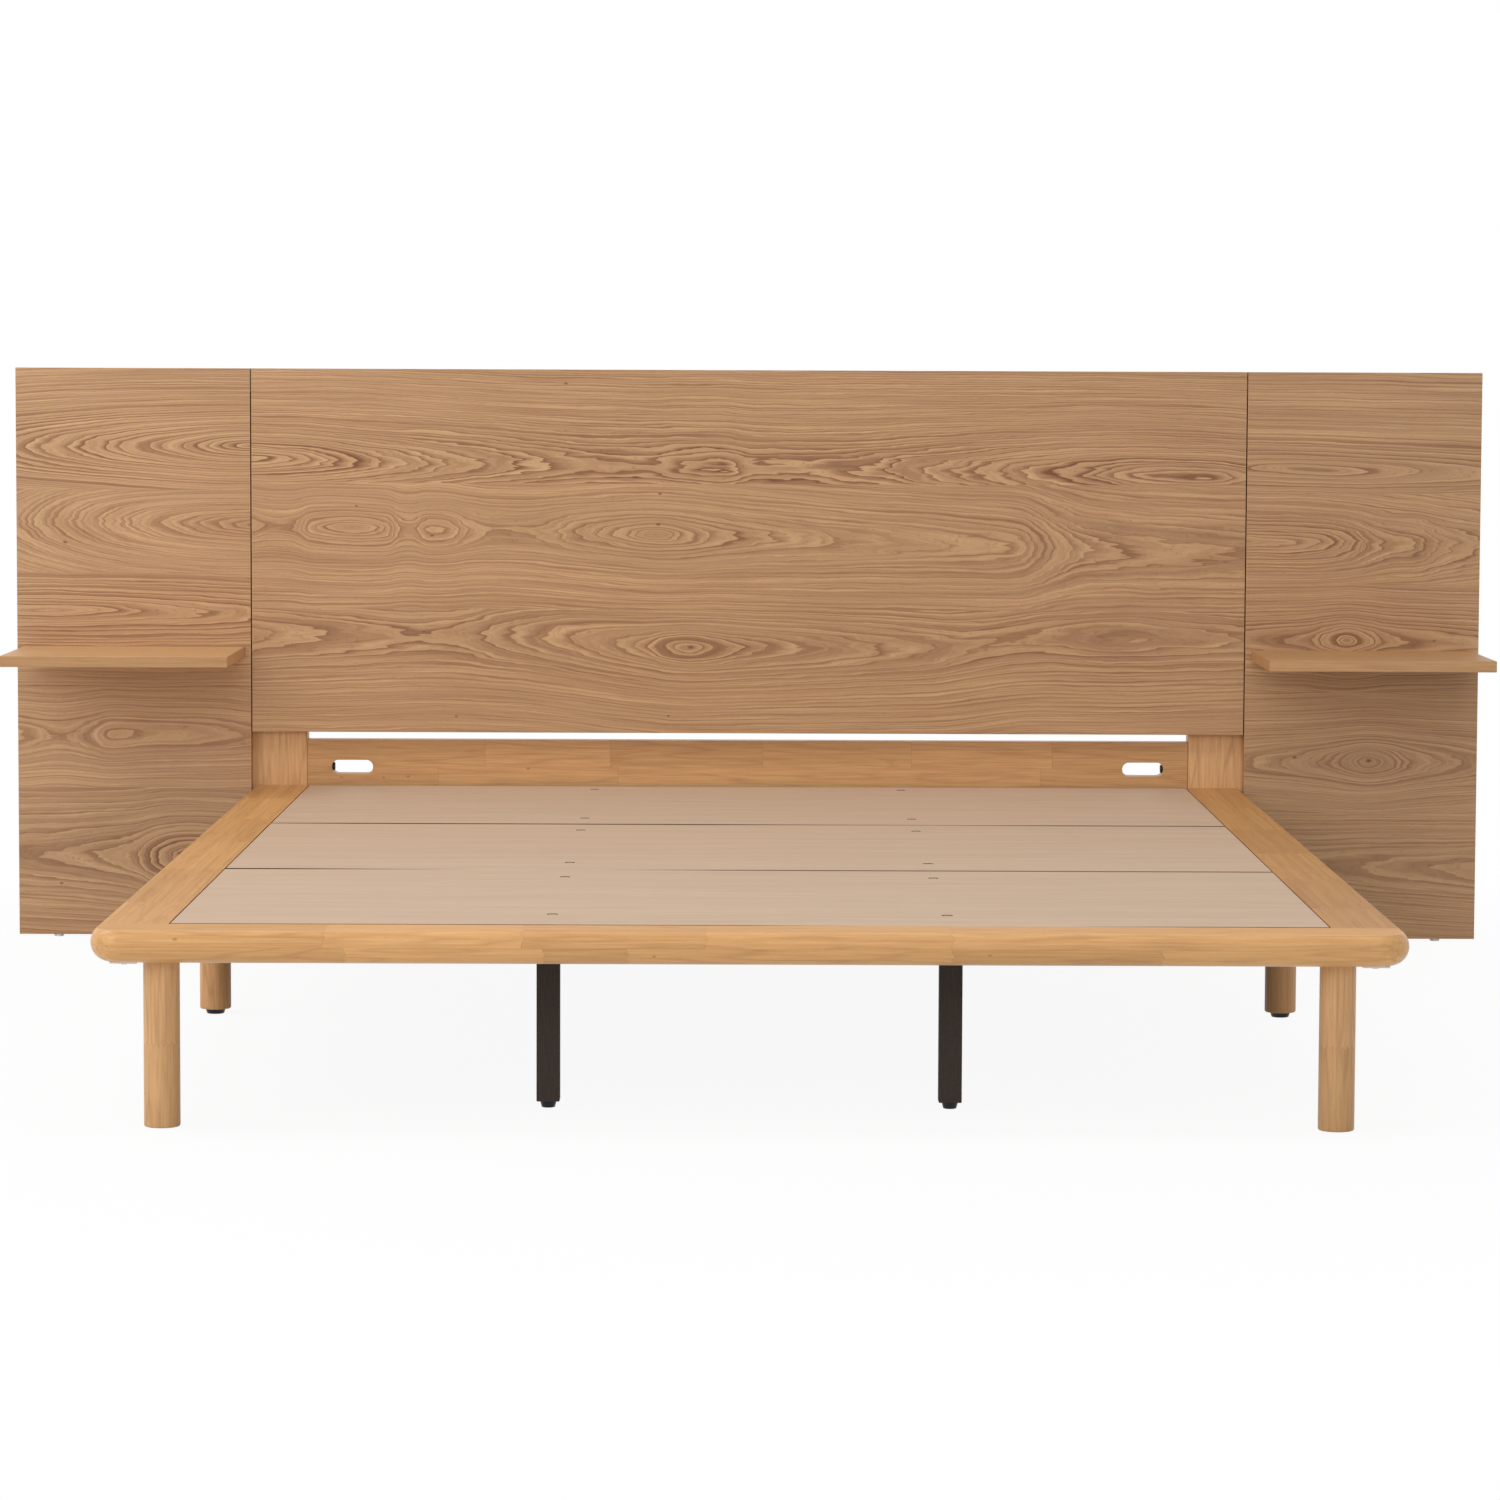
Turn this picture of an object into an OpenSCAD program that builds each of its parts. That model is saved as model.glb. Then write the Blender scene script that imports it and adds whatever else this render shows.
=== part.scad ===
// Platform bed with a panelled headboard and a floating bedside shelf on each wing.
// X runs across the bed, +Y towards the wall behind the headboard, +Z up from the floor.
// All sizes are in millimetres. Left is -X, as seen from the foot of the bed.

/* [Headboard] */
// Width of the centre panel, from joint to joint
centre_w = 1660; // [1560:10:1900]
// Height of the headboard's top edge above the floor
head_top = 952; // [900:1:1100]
// Thickness of the headboard panels
panel_t = 20; // [18:1:30]
// Open joint between neighbouring panels
panel_gap = 1.7; // [1.5:0.1:4]
// Width of each wing panel, with its half of the joint
wing_w = 391; // [300:1:500]
// Height of the wing panels above the floor, which is the height of their glides
wing_lift = 4; // [3:0.5:10]
// Radius of a wing glide
glide_r = 8; // [5:0.5:9]
// Distance of each glide from the middle of its wing
glide_spread = 130; // [60:1:140]

/* [Posts and rear rail] */
// Width of a headboard post
post_w = 100; // [80:1:110]
// Distance that a post reaches past the joint, behind its wing panel
post_lap = 8; // [3:0.5:15]
// Thickness of a headboard post
post_t = 42; // [36:1:60]
// Radius on the long edges of a post
post_edge_r = 3; // [1:0.5:6]
// Distance from the top of a post up to the top of the headboard
post_top_drop = 40; // [0:1:120]
// Thickness of the rear rail
rear_rail_t = 30; // [26:1:36]
// Height of the rear rail's top edge above the top of the platform frame
rear_rail_rise = 77; // [60:1:110]
// Length of each end piece of the rear rail, from its glued joint to the post
rear_rail_end_l = 240; // [180:1:280]
// Open gap between the rear rail and the centre panel
light_gap = 14; // [4:1:30]
// Length of a tool slot in the rear rail
slot_l = 69; // [50:1:100]
// Height of a tool slot
slot_h = 23; // [18:0.5:28]
// Distance from the end of the rear rail to its tool slot
slot_inset = 41; // [30:1:80]
// Distance from the rear rail's top edge down to the middle of its slots
slot_drop = 46; // [35:1:58]
// Thickness of the glue line between the rear rail's upper and lower strips
glue_line = 0.1; // [0.05:0.05:0.3]

/* [Platform] */
// Height of the top of the platform frame above the floor
deck_top = 255; // [230:1:270]
// Thickness of the platform frame
frame_t = 42; // [36:1:50]
// Distance from the top of the frame down to where its round outer edge stands out furthest
nose_drop = 18; // [15:0.5:18]
// Width of a side rail
side_rail_w = 93.3; // [85:0.1:130]
// Width of the front rail, from its nose to the boards
front_rail_w = 86; // [80:1:140]
// Radius of the platform's front corners, seen from above
corner_r = 45; // [30:1:52]
// Length of the field of boards, from the front rail to the rear rail
recess_l = 2061; // [1900:1:2200]
// Distance that the boards' recess is wider than the gap between the posts, on each side
recess_step = 2.3; // [0:0.1:6]
// Space round the end of a side rail where it passes a wing panel
notch_gap = 0.8; // [0.4:0.1:2]

/* [Boards] */
// Thickness of a board
board_t = 15; // [12:1:18]
// Distance from the top of the frame down to the boards
board_drop = 0; // [0:0.5:6]
// Gap between two boards
board_gap = 4; // [1:0.1:5]
// Gap round the edge of the field of boards
board_edge_gap = 1.5; // [0.5:0.1:4]
// Radius of a board screw's head
board_head_r = 6.5; // [5:0.5:9]
// Depth of a board screw's head
board_head_h = 2.6; // [1.5:0.1:4]
// Length of a board screw under its head
board_screw_l = 34; // [25:1:40]
// Distance from a board's edge to its screws, next to another board
screw_inset = 97; // [40:1:200]
// Distance from the rear rail to the first screws
rear_screw_inset = 63; // [40:1:120]
// Distance from the front rail to the last screws
front_screw_inset = 122; // [60:1:126]
// Distance of the board screws from the middle of a beam, towards the middle of the bed
screw_shift = 3; // [0:1:15]

/* [Support under the boards] */
// Distance from the middle of the bed to the middle of a centre beam
beam_x = 258; // [180:1:400]
// Width of a centre beam
beam_w = 60; // [50:1:90]
// Height of a centre beam
beam_h = 30; // [26:1:36]
// Width of the ledger strips
ledger_w = 25; // [20:1:40]
// Largest distance between two ledger screws
ledger_screw_pitch = 340; // [200:10:600]
// Distance from the end of a ledger to its first screw
ledger_screw_inset = 60; // [30:1:100]
// Length of a beam hanger along its beam
hanger_l = 35; // [20:1:50]
// Thickness of the sheet steel in the beam hangers
sheet_t = 2; // [1.5:0.1:3]
// Width of the tab on each side of a beam hanger
tab_w = 22; // [16:1:30]

/* [Legs] */
// Diameter of the round legs
leg_d = 46; // [36:1:56]
// Distance from the side of the platform to the middle of a front leg
front_leg_inset = 86.8; // [70:0.1:110]
// Distance from the front of the platform to the middle of a front leg
front_leg_back = 64; // [56:1:75]
// Distance from the side of the platform to the middle of a side leg
mid_leg_inset = 39.8; // [36:0.1:60]
// Distance from the headboard's face to the middle of a side leg
mid_leg_reach = 972; // [600:1:1400]
// Small chamfer round the foot of a front leg
leg_chamfer = 1.5; // [0.5:0.1:4]
// Width of the square centre legs
centre_leg_w = 30; // [28:1:50]
// Distance from each end of a beam to the middle of its centre leg
centre_leg_inset = 150; // [110:1:300]
// Distance of the centre legs from the middle of their beam, away from the middle of the bed
centre_leg_shift = 3; // [0:1:10]

/* [Levelling feet] */
// Radius of a side leg's foot where it meets the leg
side_pad_r = 15; // [12:0.5:20]
// Height of the side legs above the floor, at rest
side_pad_h = 7.5; // [7:0.5:15]
// Radius of a centre leg's foot where it meets the leg
centre_pad_r = 11; // [9:0.5:14]
// Height of the centre legs above the floor, at rest
centre_pad_h = 9; // [7:0.5:15]
// Distance that the side of a foot draws in towards the floor
pad_taper = 2.5; // [0.5:0.1:3]
// Thickness of a foot under its stud
pad_floor = 2; // [1:0.1:3]
// Distance that a foot screws out of its leg
foot_travel = 10; // [5:1:20]
// Length of a levelling stud that stays in its leg when its foot is screwed right out
stud_grip = 22; // [18:1:40]
// Distance that a levelling stud's collar stands out from the stud
collar_step = 1.2; // [0.6:0.1:1.4]
// Height of a levelling stud's collar
collar_h = 1.5; // [1:0.1:2.5]

/* [Shelves] */
// Width of a shelf
shelf_w = 368; // [250:1:385]
// Depth of a shelf, from the wing's face to its front edge
shelf_depth = 280; // [200:1:400]
// Thickness of a shelf
shelf_t = 18; // [16:1:30]
// Height of a shelf's top above the floor
shelf_top = 488; // [440:1:560]
// Length of the batten behind a shelf
batten_l = 330; // [250:1:360]
// Height of the batten behind a shelf
batten_h = 60; // [40:1:90]
// Thickness of the batten behind a shelf
batten_t = 22; // [18:1:40]
// Distance between two shelf bolts
shelf_bolt_pitch = 125; // [80:1:130]

/* [Wing brackets] */
// Height of the middle of the lowest wing bracket above the floor
low_bracket_z = 120; // [60:5:300]
// Height of the middle of the second wing bracket above the floor
mid_bracket_z = 640; // [600:5:700]
// Distance from the top of a post down to the middle of its top bracket
top_bracket_drop = 62; // [50:1:120]
// Height of a bracket's plate
bracket_h = 60; // [40:1:80]
// Width of the bracket's leg on the wing
bracket_wing_l = 52; // [40:1:80]
// Width of the bracket's leg on the post
bracket_post_l = 36; // [30:1:40]
// Thickness of a bracket
bracket_t = 2; // [1.5:0.1:2.3]
// Distance from the middle of a bracket to each of its screws
bracket_screw_spread = 18; // [10:1:25]
// Distance from a bracket's edge to its screws
bracket_edge = 13; // [8:1:18]

/* [Corner joints] */
// Length of the plate under a corner joint
corner_plate_l = 120; // [80:1:160]
// Width of the plate under a corner joint
corner_plate_w = 34; // [24:1:36]
// Distance from a corner joint to the nearest screws of its plate
plate_screw_near = 22; // [15:1:28]
// Distance from a corner joint to the far screws of its plate
plate_screw_far = 48; // [40:1:54]
// Radius of a corner dowel
dowel_r = 5; // [4:0.5:6]
// Length of a corner dowel
dowel_l = 60; // [40:1:80]

/* [Fasteners] */
// Radius of the large bolts and studs
bolt_r = 4; // [3:0.5:5]
// Radius of a large bolt's head
bolt_head_r = 6.5; // [5.5:0.5:8]
// Height of a large bolt's head
bolt_head_h = 8; // [6:0.5:10]
// Height of the low head of a bolt in a tool slot
slot_head_h = 4.5; // [3:0.5:8]
// Radius of the small bolts
small_bolt_r = 3; // [2.5:0.5:4]
// Radius of a small bolt's head
small_head_r = 5; // [4.5:0.5:6]
// Height of a small bolt's head
small_head_h = 6; // [4:0.5:7]
// Wall of a threaded insert
insert_wall = 2; // [1.2:0.1:2.5]
// Length of a large threaded insert
insert_l = 15; // [10:1:20]
// Length of a small threaded insert
small_insert_l = 12; // [8:1:14]
// Length of a bolt beyond the face of its insert
bolt_past = 20; // [16:1:25]
// Length of a frame stud inside the top of its leg
stud_in_top = 35; // [20:1:60]
// Radius of a wood screw
screw_r = 2; // [1.5:0.1:2.5]
// Radius of a wood screw's head
screw_head_r = 4; // [3:0.1:5]
// Height of a wood screw's head
screw_head_h = 1.8; // [1:0.1:2.5]
// Length of a short wood screw under its head
short_screw_l = 15; // [10:1:17]
// Length of a ledger screw
ledger_screw_l = 42; // [35:1:50]
// Distance from a side rail's end to its cross nuts
nut_inset = 45; // [30:1:80]
// Radius of a cross nut
nut_r = 6; // [6:0.5:8]
// Length of a cross nut
nut_l = 24; // [18:1:28]
// Space between a fastener and its hole
fit_gap = 0.15; // [0.05:0.01:0.3]
// Running space between a stud and what turns or slides on it
run_gap = 0.05; // [0.02:0.01:0.1]
// Space that a foot keeps from its leg at rest
seat_gap = 0.3; // [0.1:0.05:0.5]

/* [Hidden] */
$fn = 48;

// Planes across the bed, from the wall to the foot
head_y = (recess_l + front_rail_w - post_t) / 2 - panel_t;
post_front = head_y + panel_t;
post_back = post_front + post_t;
field_front = post_front - recess_l;
deck_front = field_front - front_rail_w;
rail_mid_y = post_front + rear_rail_t / 2;

// Planes out from the middle of the bed
centre_half = (centre_w - panel_gap) / 2;
wing_in = (centre_w + panel_gap) / 2;
wing_out = centre_w / 2 + wing_w;
wing_mid = (wing_in + wing_out) / 2;
post_out = wing_in + post_lap;
post_in = post_out - post_w;
post_mid = (post_in + post_out) / 2;
recess_half = post_in - recess_step;
deck_half = recess_half + side_rail_w;
nose_r = frame_t - nose_drop;
flat_half = deck_half - nose_r;

// Heights
board_count = 3;
rear_rail_top = deck_top + rear_rail_rise;
centre_bottom = rear_rail_top + light_gap;
post_top = head_top - post_top_drop;
deck_bottom = deck_top - frame_t;
deck_mid = deck_bottom + frame_t / 2;
nose_z = deck_top - nose_drop;
slot_z = rear_rail_top - slot_drop;
board_top = deck_top - board_drop;
board_bottom = board_top - board_t;
beam_bottom = board_bottom - beam_h;
ledger_h = board_bottom - deck_bottom;
ledger_mid = deck_bottom + ledger_h / 2;
shelf_mid = shelf_top - shelf_t / 2;
bracket_heights = [low_bracket_z, mid_bracket_z, post_top - top_bracket_drop];

// How far a cutting shape runs past the face that it cuts, and how deep a head is sunk
past = 1;
head_sink = 0.5;
// Hexagon socket in a bolt's head, as shares of the head's radius and height
socket_r_share = 0.48;
socket_h_share = 0.6;

// Fasteners and where they sit
insert_r = bolt_r + insert_wall;
small_insert_r = small_bolt_r + insert_wall;
slot_out = post_in - slot_inset;
slot_mid = slot_out - slot_l / 2;
rail_joint_x = post_in - rear_rail_end_l;
post_bolt_count = 4;
post_bolt_pitch = (post_top - centre_bottom) / post_bolt_count;
post_bolts_z = [for (k = [0:post_bolt_count - 1]) centre_bottom + (k + 0.5) * post_bolt_pitch];
rail_bolts_x = [for (k = [-1, 1]) (post_in + flat_half) / 2 + k * (flat_half - post_in) / 4];
shelf_bolts_x = [for (k = [-1:1]) wing_mid + k * shelf_bolt_pitch];
dowels_x = [for (k = [-1, 1]) (recess_half + flat_half) / 2 + k * (flat_half - recess_half) / 4];
corner_plate_x = flat_half - corner_plate_w / 2 - screw_head_h;
plate_screws_y = [for (k = [-1, 1]) for (s = [plate_screw_near, plate_screw_far])
    field_front + k * s];
centre_leg_x = beam_x + centre_leg_shift;
centre_legs_y = [field_front + centre_leg_inset, post_front - centre_leg_inset];
front_leg_x = deck_half - front_leg_inset;
front_leg_y = deck_front + front_leg_back;
mid_leg_x = deck_half - mid_leg_inset;
mid_leg_y = head_y - mid_leg_reach;

stud_in_leg = foot_travel + stud_grip;

// Boards: one pitch is a board and its gap
board_half = recess_half - board_edge_gap;
board_pitch = (recess_l - 2 * board_edge_gap + board_gap) / board_count;
board_l = board_pitch - board_gap;
function board_back(k) = post_front - board_edge_gap - k * board_pitch;
function board_screws_y(k) = [
    board_back(k) - (k == 0 ? rear_screw_inset : screw_inset),
    board_back(k) - board_l + (k == board_count - 1 ? front_screw_inset : screw_inset)];
screw_x = beam_x - screw_shift;

// Ledgers: the short ones stop at the hangers' tabs
hanger_half = beam_w / 2 + fit_gap + sheet_t;
tab_gap = 1;
tab_end = hanger_half + tab_w;
glides_x = [wing_mid - glide_spread, wing_mid + glide_spread];
side_ledger_screws_y = spread(field_front + ledger_screw_inset, post_front - ledger_screw_inset,
    ledger_screw_pitch);
ledger_end = recess_half - ledger_w;
cross_ledgers_x = [[-ledger_end, -beam_x - tab_end], [-beam_x + tab_end, beam_x - tab_end],
    [beam_x + tab_end, ledger_end]];
ledger_face = ledger_w - screw_head_h;

// Evenly spaced places from a to b, no further apart than the pitch
function spread(a, b, pitch) =
    let (count = ceil((b - a) / pitch)) [for (k = [0:count]) a + (b - a) * k / count];

// ---- Building blocks

// A box between two opposite corners
module slab(low, high) {
    translate(low) cube(high - low);
}

// Round bars that start at a point and run along +X, +Y or +Z
module bar_x(at, r, l) {
    translate(at) rotate([0, 90, 0]) cylinder(r = r, h = l);
}

module bar_y(at, r, l) {
    translate(at) rotate([-90, 0, 0]) cylinder(r = r, h = l);
}

module bar_z(at, r, l) {
    translate(at) cylinder(r = r, h = l);
}

// A shape on the right and its twin on the left
module both_sides() {
    children();
    mirror([1, 0, 0]) children();
}

// A threaded insert along +Z, with its mouth at the origin
module insert(bore_r, l) {
    difference() {
        cylinder(r = bore_r + insert_wall, h = l);
        translate([0, 0, -past]) cylinder(r = bore_r + run_gap, h = l + 2 * past);
    }
}

// The hole for an insert and for the bolt beyond it, along +Z from its mouth
module insert_hole(bore_r, l, reach) {
    translate([0, 0, -past])
        cylinder(r = bore_r + insert_wall + fit_gap, h = l + past + fit_gap);
    cylinder(r = bore_r + fit_gap, h = reach + past);
}

// A wood screw along +Z, with the underside of its head at the origin
module wood_screw(l) {
    translate([0, 0, -screw_head_h]) cylinder(r = screw_head_r, h = screw_head_h);
    cylinder(r = screw_r, h = l);
}

module wood_screw_hole(l) {
    cylinder(r = screw_r + fit_gap, h = l + fit_gap);
}

// A cap head bolt along +Z, with the underside of its head at the origin and a hexagon socket
module cap_bolt(r, head_r, head_h, l) {
    difference() {
        union() {
            translate([0, 0, -head_h]) cylinder(r = head_r, h = head_h);
            cylinder(r = r, h = l);
        }
        translate([0, 0, -head_h - past])
            cylinder(r = head_r * socket_r_share, h = head_h * socket_h_share + past, $fn = 6);
    }
}

// The hole for a cap head bolt along +Z, through a piece that starts at the origin
module bolt_hole(r, head_r, head_h, through) {
    translate([0, 0, -past]) cylinder(r = r + fit_gap, h = through + 2 * past);
    translate([0, 0, -past]) cylinder(r = head_r + fit_gap, h = head_h + head_sink + past);
}

// Turns a shape made along +Z so that it runs along -Y
module towards_foot(at) {
    translate(at) rotate([90, 0, 0]) children();
}

// Turns a shape made along +Z so that it runs along +Y
module towards_wall(at) {
    translate(at) rotate([-90, 0, 0]) children();
}

// Turns a shape made along +Z so that it runs along -Z
module downwards(at) {
    translate(at) mirror([0, 0, 1]) children();
}

// Turns a shape made along +Z so that it runs along +X
module outwards(at) {
    translate(at) rotate([0, 90, 0]) children();
}

// Turns a shape made along +Z so that it runs along -X
module inwards(at) {
    translate(at) rotate([0, -90, 0]) children();
}

// ---- Headboard

module panel_bolt_places() {
    for (z = post_bolts_z) towards_foot([post_mid, post_back, z]) children();
}

module headboard_panel() {
    color("#b58a5e") difference() {
        slab([-centre_half, head_y, centre_bottom], [centre_half, post_front, head_top]);
        both_sides() for (z = post_bolts_z)
            towards_foot([post_mid, post_front, z])
                insert_hole(small_bolt_r, small_insert_l, small_insert_l);
    }
}

module wing_panel() {
    color("#b08457") difference() {
        slab([wing_in, head_y, wing_lift], [wing_out, post_front, head_top]);
        for (x = shelf_bolts_x)
            bar_y([x, head_y - past, shelf_mid], small_bolt_r + fit_gap, panel_t + 2 * past);
        wing_bracket_screw_places() wood_screw_hole(short_screw_l);
        for (x = glides_x)
            bar_z([x, head_y + panel_t / 2, wing_lift - past], screw_r + fit_gap,
                short_screw_l + past);
    }
}

// Plastic glides with a moulded pin, under the wings
module wing_glides() {
    color("#2b2b2b") both_sides() for (x = glides_x) {
        bar_z([x, head_y + panel_t / 2, 0], glide_r, wing_lift);
        bar_z([x, head_y + panel_t / 2, wing_lift / 2], screw_r, short_screw_l);
    }
}

// A tall block whose four upright edges are rounded
module rounded_post(low, high, r) {
    slab([low[0] + r, low[1], low[2]], [high[0] - r, high[1], high[2]]);
    slab([low[0], low[1] + r, low[2]], [high[0], high[1] - r, high[2]]);
    for (x = [low[0] + r, high[0] - r]) for (y = [low[1] + r, high[1] - r])
        bar_z([x, y, low[2]], r, high[2] - low[2]);
}

module post() {
    color("#c79a64") difference() {
        rounded_post([post_in, post_front, 0], [post_out, post_back, post_top], post_edge_r);
        panel_bolt_places() bolt_hole(small_bolt_r, small_head_r, small_head_h, post_t);
        for (x = rail_bolts_x) towards_foot([x, post_back, deck_mid])
            bolt_hole(bolt_r, bolt_head_r, bolt_head_h, post_t);
        outwards([post_in, rail_mid_y, slot_z]) insert_hole(bolt_r, insert_l, bolt_past);
        post_bracket_screw_places() wood_screw_hole(short_screw_l);
    }
}

module panel_bolts() {
    depth = small_head_h + head_sink;
    color("#8f9296") both_sides() panel_bolt_places() translate([0, 0, depth])
        cap_bolt(small_bolt_r, small_head_r, small_head_h, post_t - depth + small_insert_l);
}

// A length of the rear rail: two strips, glued together at the height of the slots' middle
module rear_rail_strips(from, to) {
    slab([from, post_front, deck_bottom],
         [to, post_front + rear_rail_t, slot_z - glue_line / 2]);
    slab([from, post_front, slot_z + glue_line / 2],
         [to, post_front + rear_rail_t, rear_rail_top]);
}

// The rear rail's middle length
module rear_rail() {
    color("#d09a5c") difference() {
        rear_rail_strips(-rail_joint_x, rail_joint_x);
        both_sides() hanger_screw_places(1) wood_screw_hole(short_screw_l);
        cross_ledger_screw_places(1) wood_screw_hole(ledger_screw_l - ledger_face);
    }
}

// The rear rail's end length, glued to the middle one, with the tool slot
module rear_rail_end() {
    color("#d09a5c") difference() {
        rear_rail_strips(rail_joint_x, post_in);
        slab([slot_mid - slot_l / 2 + slot_h / 2, post_front - past, slot_z - slot_h / 2],
             [slot_out - slot_h / 2, post_front + rear_rail_t + past, slot_z + slot_h / 2]);
        for (k = [-1, 1])
            bar_y([slot_mid + k * (slot_l - slot_h) / 2, post_front - past, slot_z],
                slot_h / 2, rear_rail_t + 2 * past);
        bar_x([slot_mid, rail_mid_y, slot_z], bolt_r + fit_gap, slot_l / 2 + slot_inset + past);
        bar_x([slot_mid, rail_mid_y, slot_z], bolt_head_r + fit_gap, slot_l / 2);
        cross_ledger_screw_places(1) wood_screw_hole(ledger_screw_l - ledger_face);
    }
}

// The bolts that draw the rear rail to the posts, with their heads in the slots
module rear_rail_bolts() {
    color("#1f2022") both_sides() outwards([slot_out, rail_mid_y, slot_z])
        cap_bolt(bolt_r, bolt_head_r, slot_head_h, slot_inset + bolt_past);
}

// ---- Wing brackets: angles in the corner between a post and the back of a wing

module wing_bracket_screw_places() {
    for (z = bracket_heights) for (k = [-1, 1])
        towards_foot([post_out + bracket_wing_l - bracket_edge, post_front, z + k * bracket_screw_spread])
            children();
}

module post_bracket_screw_places() {
    for (z = bracket_heights) for (k = [-1, 1])
        inwards([post_out, post_front + bracket_post_l - bracket_edge, z + k * bracket_screw_spread])
            children();
}

// A screw's hole through a plate that ends at the origin
module sheet_hole(t) {
    translate([0, 0, -t - past]) cylinder(r = screw_r + fit_gap, h = t + 2 * past);
}

module wing_brackets() {
    color("#8d9094") both_sides() difference() {
        for (z = bracket_heights) {
            slab([post_out, post_front, z - bracket_h / 2],
                 [post_out + bracket_wing_l, post_front + bracket_t, z + bracket_h / 2]);
            slab([post_out, post_front, z - bracket_h / 2],
                 [post_out + bracket_t, post_front + bracket_post_l, z + bracket_h / 2]);
        }
        wing_bracket_screw_places() sheet_hole(bracket_t);
        post_bracket_screw_places() sheet_hole(bracket_t);
    }
}

// ---- Shelves

module shelf() {
    color("#c08d58") difference() {
        slab([wing_mid - shelf_w / 2, head_y - shelf_depth, shelf_top - shelf_t],
             [wing_mid + shelf_w / 2, head_y, shelf_top]);
        for (x = shelf_bolts_x) towards_foot([x, head_y, shelf_mid])
            insert_hole(small_bolt_r, small_insert_l, bolt_past);
    }
}

module shelf_batten() {
    color("#c9a878") difference() {
        slab([wing_mid - batten_l / 2, post_front, shelf_mid - batten_h / 2],
             [wing_mid + batten_l / 2, post_front + batten_t, shelf_mid + batten_h / 2]);
        for (x = shelf_bolts_x) towards_foot([x, post_front + batten_t, shelf_mid])
            bolt_hole(small_bolt_r, small_head_r, small_head_h, batten_t);
    }
}

module shelf_bolts() {
    depth = small_head_h + head_sink;
    color("#8f9296") both_sides() for (x = shelf_bolts_x)
        towards_foot([x, post_front + batten_t - depth, shelf_mid])
            cap_bolt(small_bolt_r, small_head_r, small_head_h,
                batten_t - depth + panel_t + bolt_past);
}

// ---- Platform frame

// Section of the frame's outer edge: half of a circle, cut off flat at the top of the frame
module nose_section() {
    intersection() {
        circle(r = nose_r);
        translate([0, -nose_r]) square([nose_r, frame_t]);
    }
}

// The outer edge along the right side, from a place on its centre line towards the foot
module side_nose(from, l) {
    translate([flat_half, from, nose_z]) rotate([90, 0, 0]) linear_extrude(l) nose_section();
}

module front_rail() {
    bend = corner_r - nose_r;
    corner_x = deck_half - corner_r;
    corner_y = deck_front + corner_r;
    color("#d29a5a") difference() {
        union() {
            slab([-corner_x, corner_y - bend, deck_bottom], [corner_x, field_front, deck_top]);
            slab([-flat_half, corner_y, deck_bottom], [flat_half, field_front, deck_top]);
            translate([-corner_x, corner_y - bend, nose_z]) rotate([90, 0, 90])
                linear_extrude(2 * corner_x) mirror([1, 0]) nose_section();
            both_sides() {
                side_nose(field_front, field_front - corner_y);
                bar_z([corner_x, corner_y, deck_bottom], bend, frame_t);
                translate([corner_x, corner_y, nose_z]) rotate([0, 0, -90])
                    rotate_extrude(angle = 90) translate([bend, 0]) nose_section();
            }
        }
        both_sides() {
            translate([front_leg_x, front_leg_y, deck_bottom])
                insert_hole(bolt_r, insert_l, bolt_past);
            for (x = dowels_x) bar_y([x, field_front - dowel_l / 2, deck_mid],
                dowel_r + fit_gap, dowel_l);
            corner_screw_places() wood_screw_hole(short_screw_l);
            hanger_screw_places(-1) wood_screw_hole(short_screw_l);
        }
        cross_ledger_screw_places(-1) wood_screw_hole(ledger_screw_l - ledger_face);
    }
}

module side_rail() {
    color("#cf9757") difference() {
        union() {
            slab([recess_half, field_front, deck_bottom], [flat_half, post_front, deck_top]);
            side_nose(post_front, recess_l);
        }
        slab([wing_in - notch_gap, head_y - notch_gap, deck_bottom - past],
             [max(deck_half, wing_in) + past, post_front + past, deck_top + past]);
        for (x = rail_bolts_x) {
            bar_y([x, post_front - nut_inset - nut_r - past, deck_mid],
                bolt_r + fit_gap, nut_inset + nut_r + 2 * past);
            bar_z([x, post_front - nut_inset, deck_bottom - past], nut_r + fit_gap,
                frame_t / 2 + nut_l / 2 + past + fit_gap);
        }
        for (x = dowels_x) bar_y([x, field_front - past, deck_mid],
            dowel_r + fit_gap, dowel_l / 2 + past + fit_gap);
        translate([mid_leg_x, mid_leg_y, deck_bottom]) insert_hole(bolt_r, insert_l, bolt_past);
        corner_screw_places() wood_screw_hole(short_screw_l);
        side_ledger_screw_places() wood_screw_hole(ledger_screw_l - ledger_face);
    }
}

// Bolts from the back of a post into the cross nuts of a side rail
module side_rail_bolts() {
    depth = bolt_head_h + head_sink;
    color("#8f9296") both_sides() for (x = rail_bolts_x)
        towards_foot([x, post_back - depth, deck_mid])
            cap_bolt(bolt_r, bolt_head_r, bolt_head_h, post_t - depth + nut_inset + nut_r);
}

module side_rail_nuts() {
    color("#9a9da1") both_sides() for (x = rail_bolts_x) difference() {
        bar_z([x, post_front - nut_inset, deck_mid - nut_l / 2], nut_r, nut_l);
        bar_y([x, post_front - nut_inset - nut_r - past, deck_mid],
            bolt_r + run_gap, 2 * (nut_r + past));
    }
}

module corner_dowels() {
    color("#dcb985") both_sides() for (x = dowels_x)
        bar_y([x, field_front - dowel_l / 2 + fit_gap, deck_mid], dowel_r, dowel_l - fit_gap);
}

module corner_screw_places() {
    for (y = plate_screws_y) translate([corner_plate_x, y, deck_bottom]) children();
}

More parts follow.
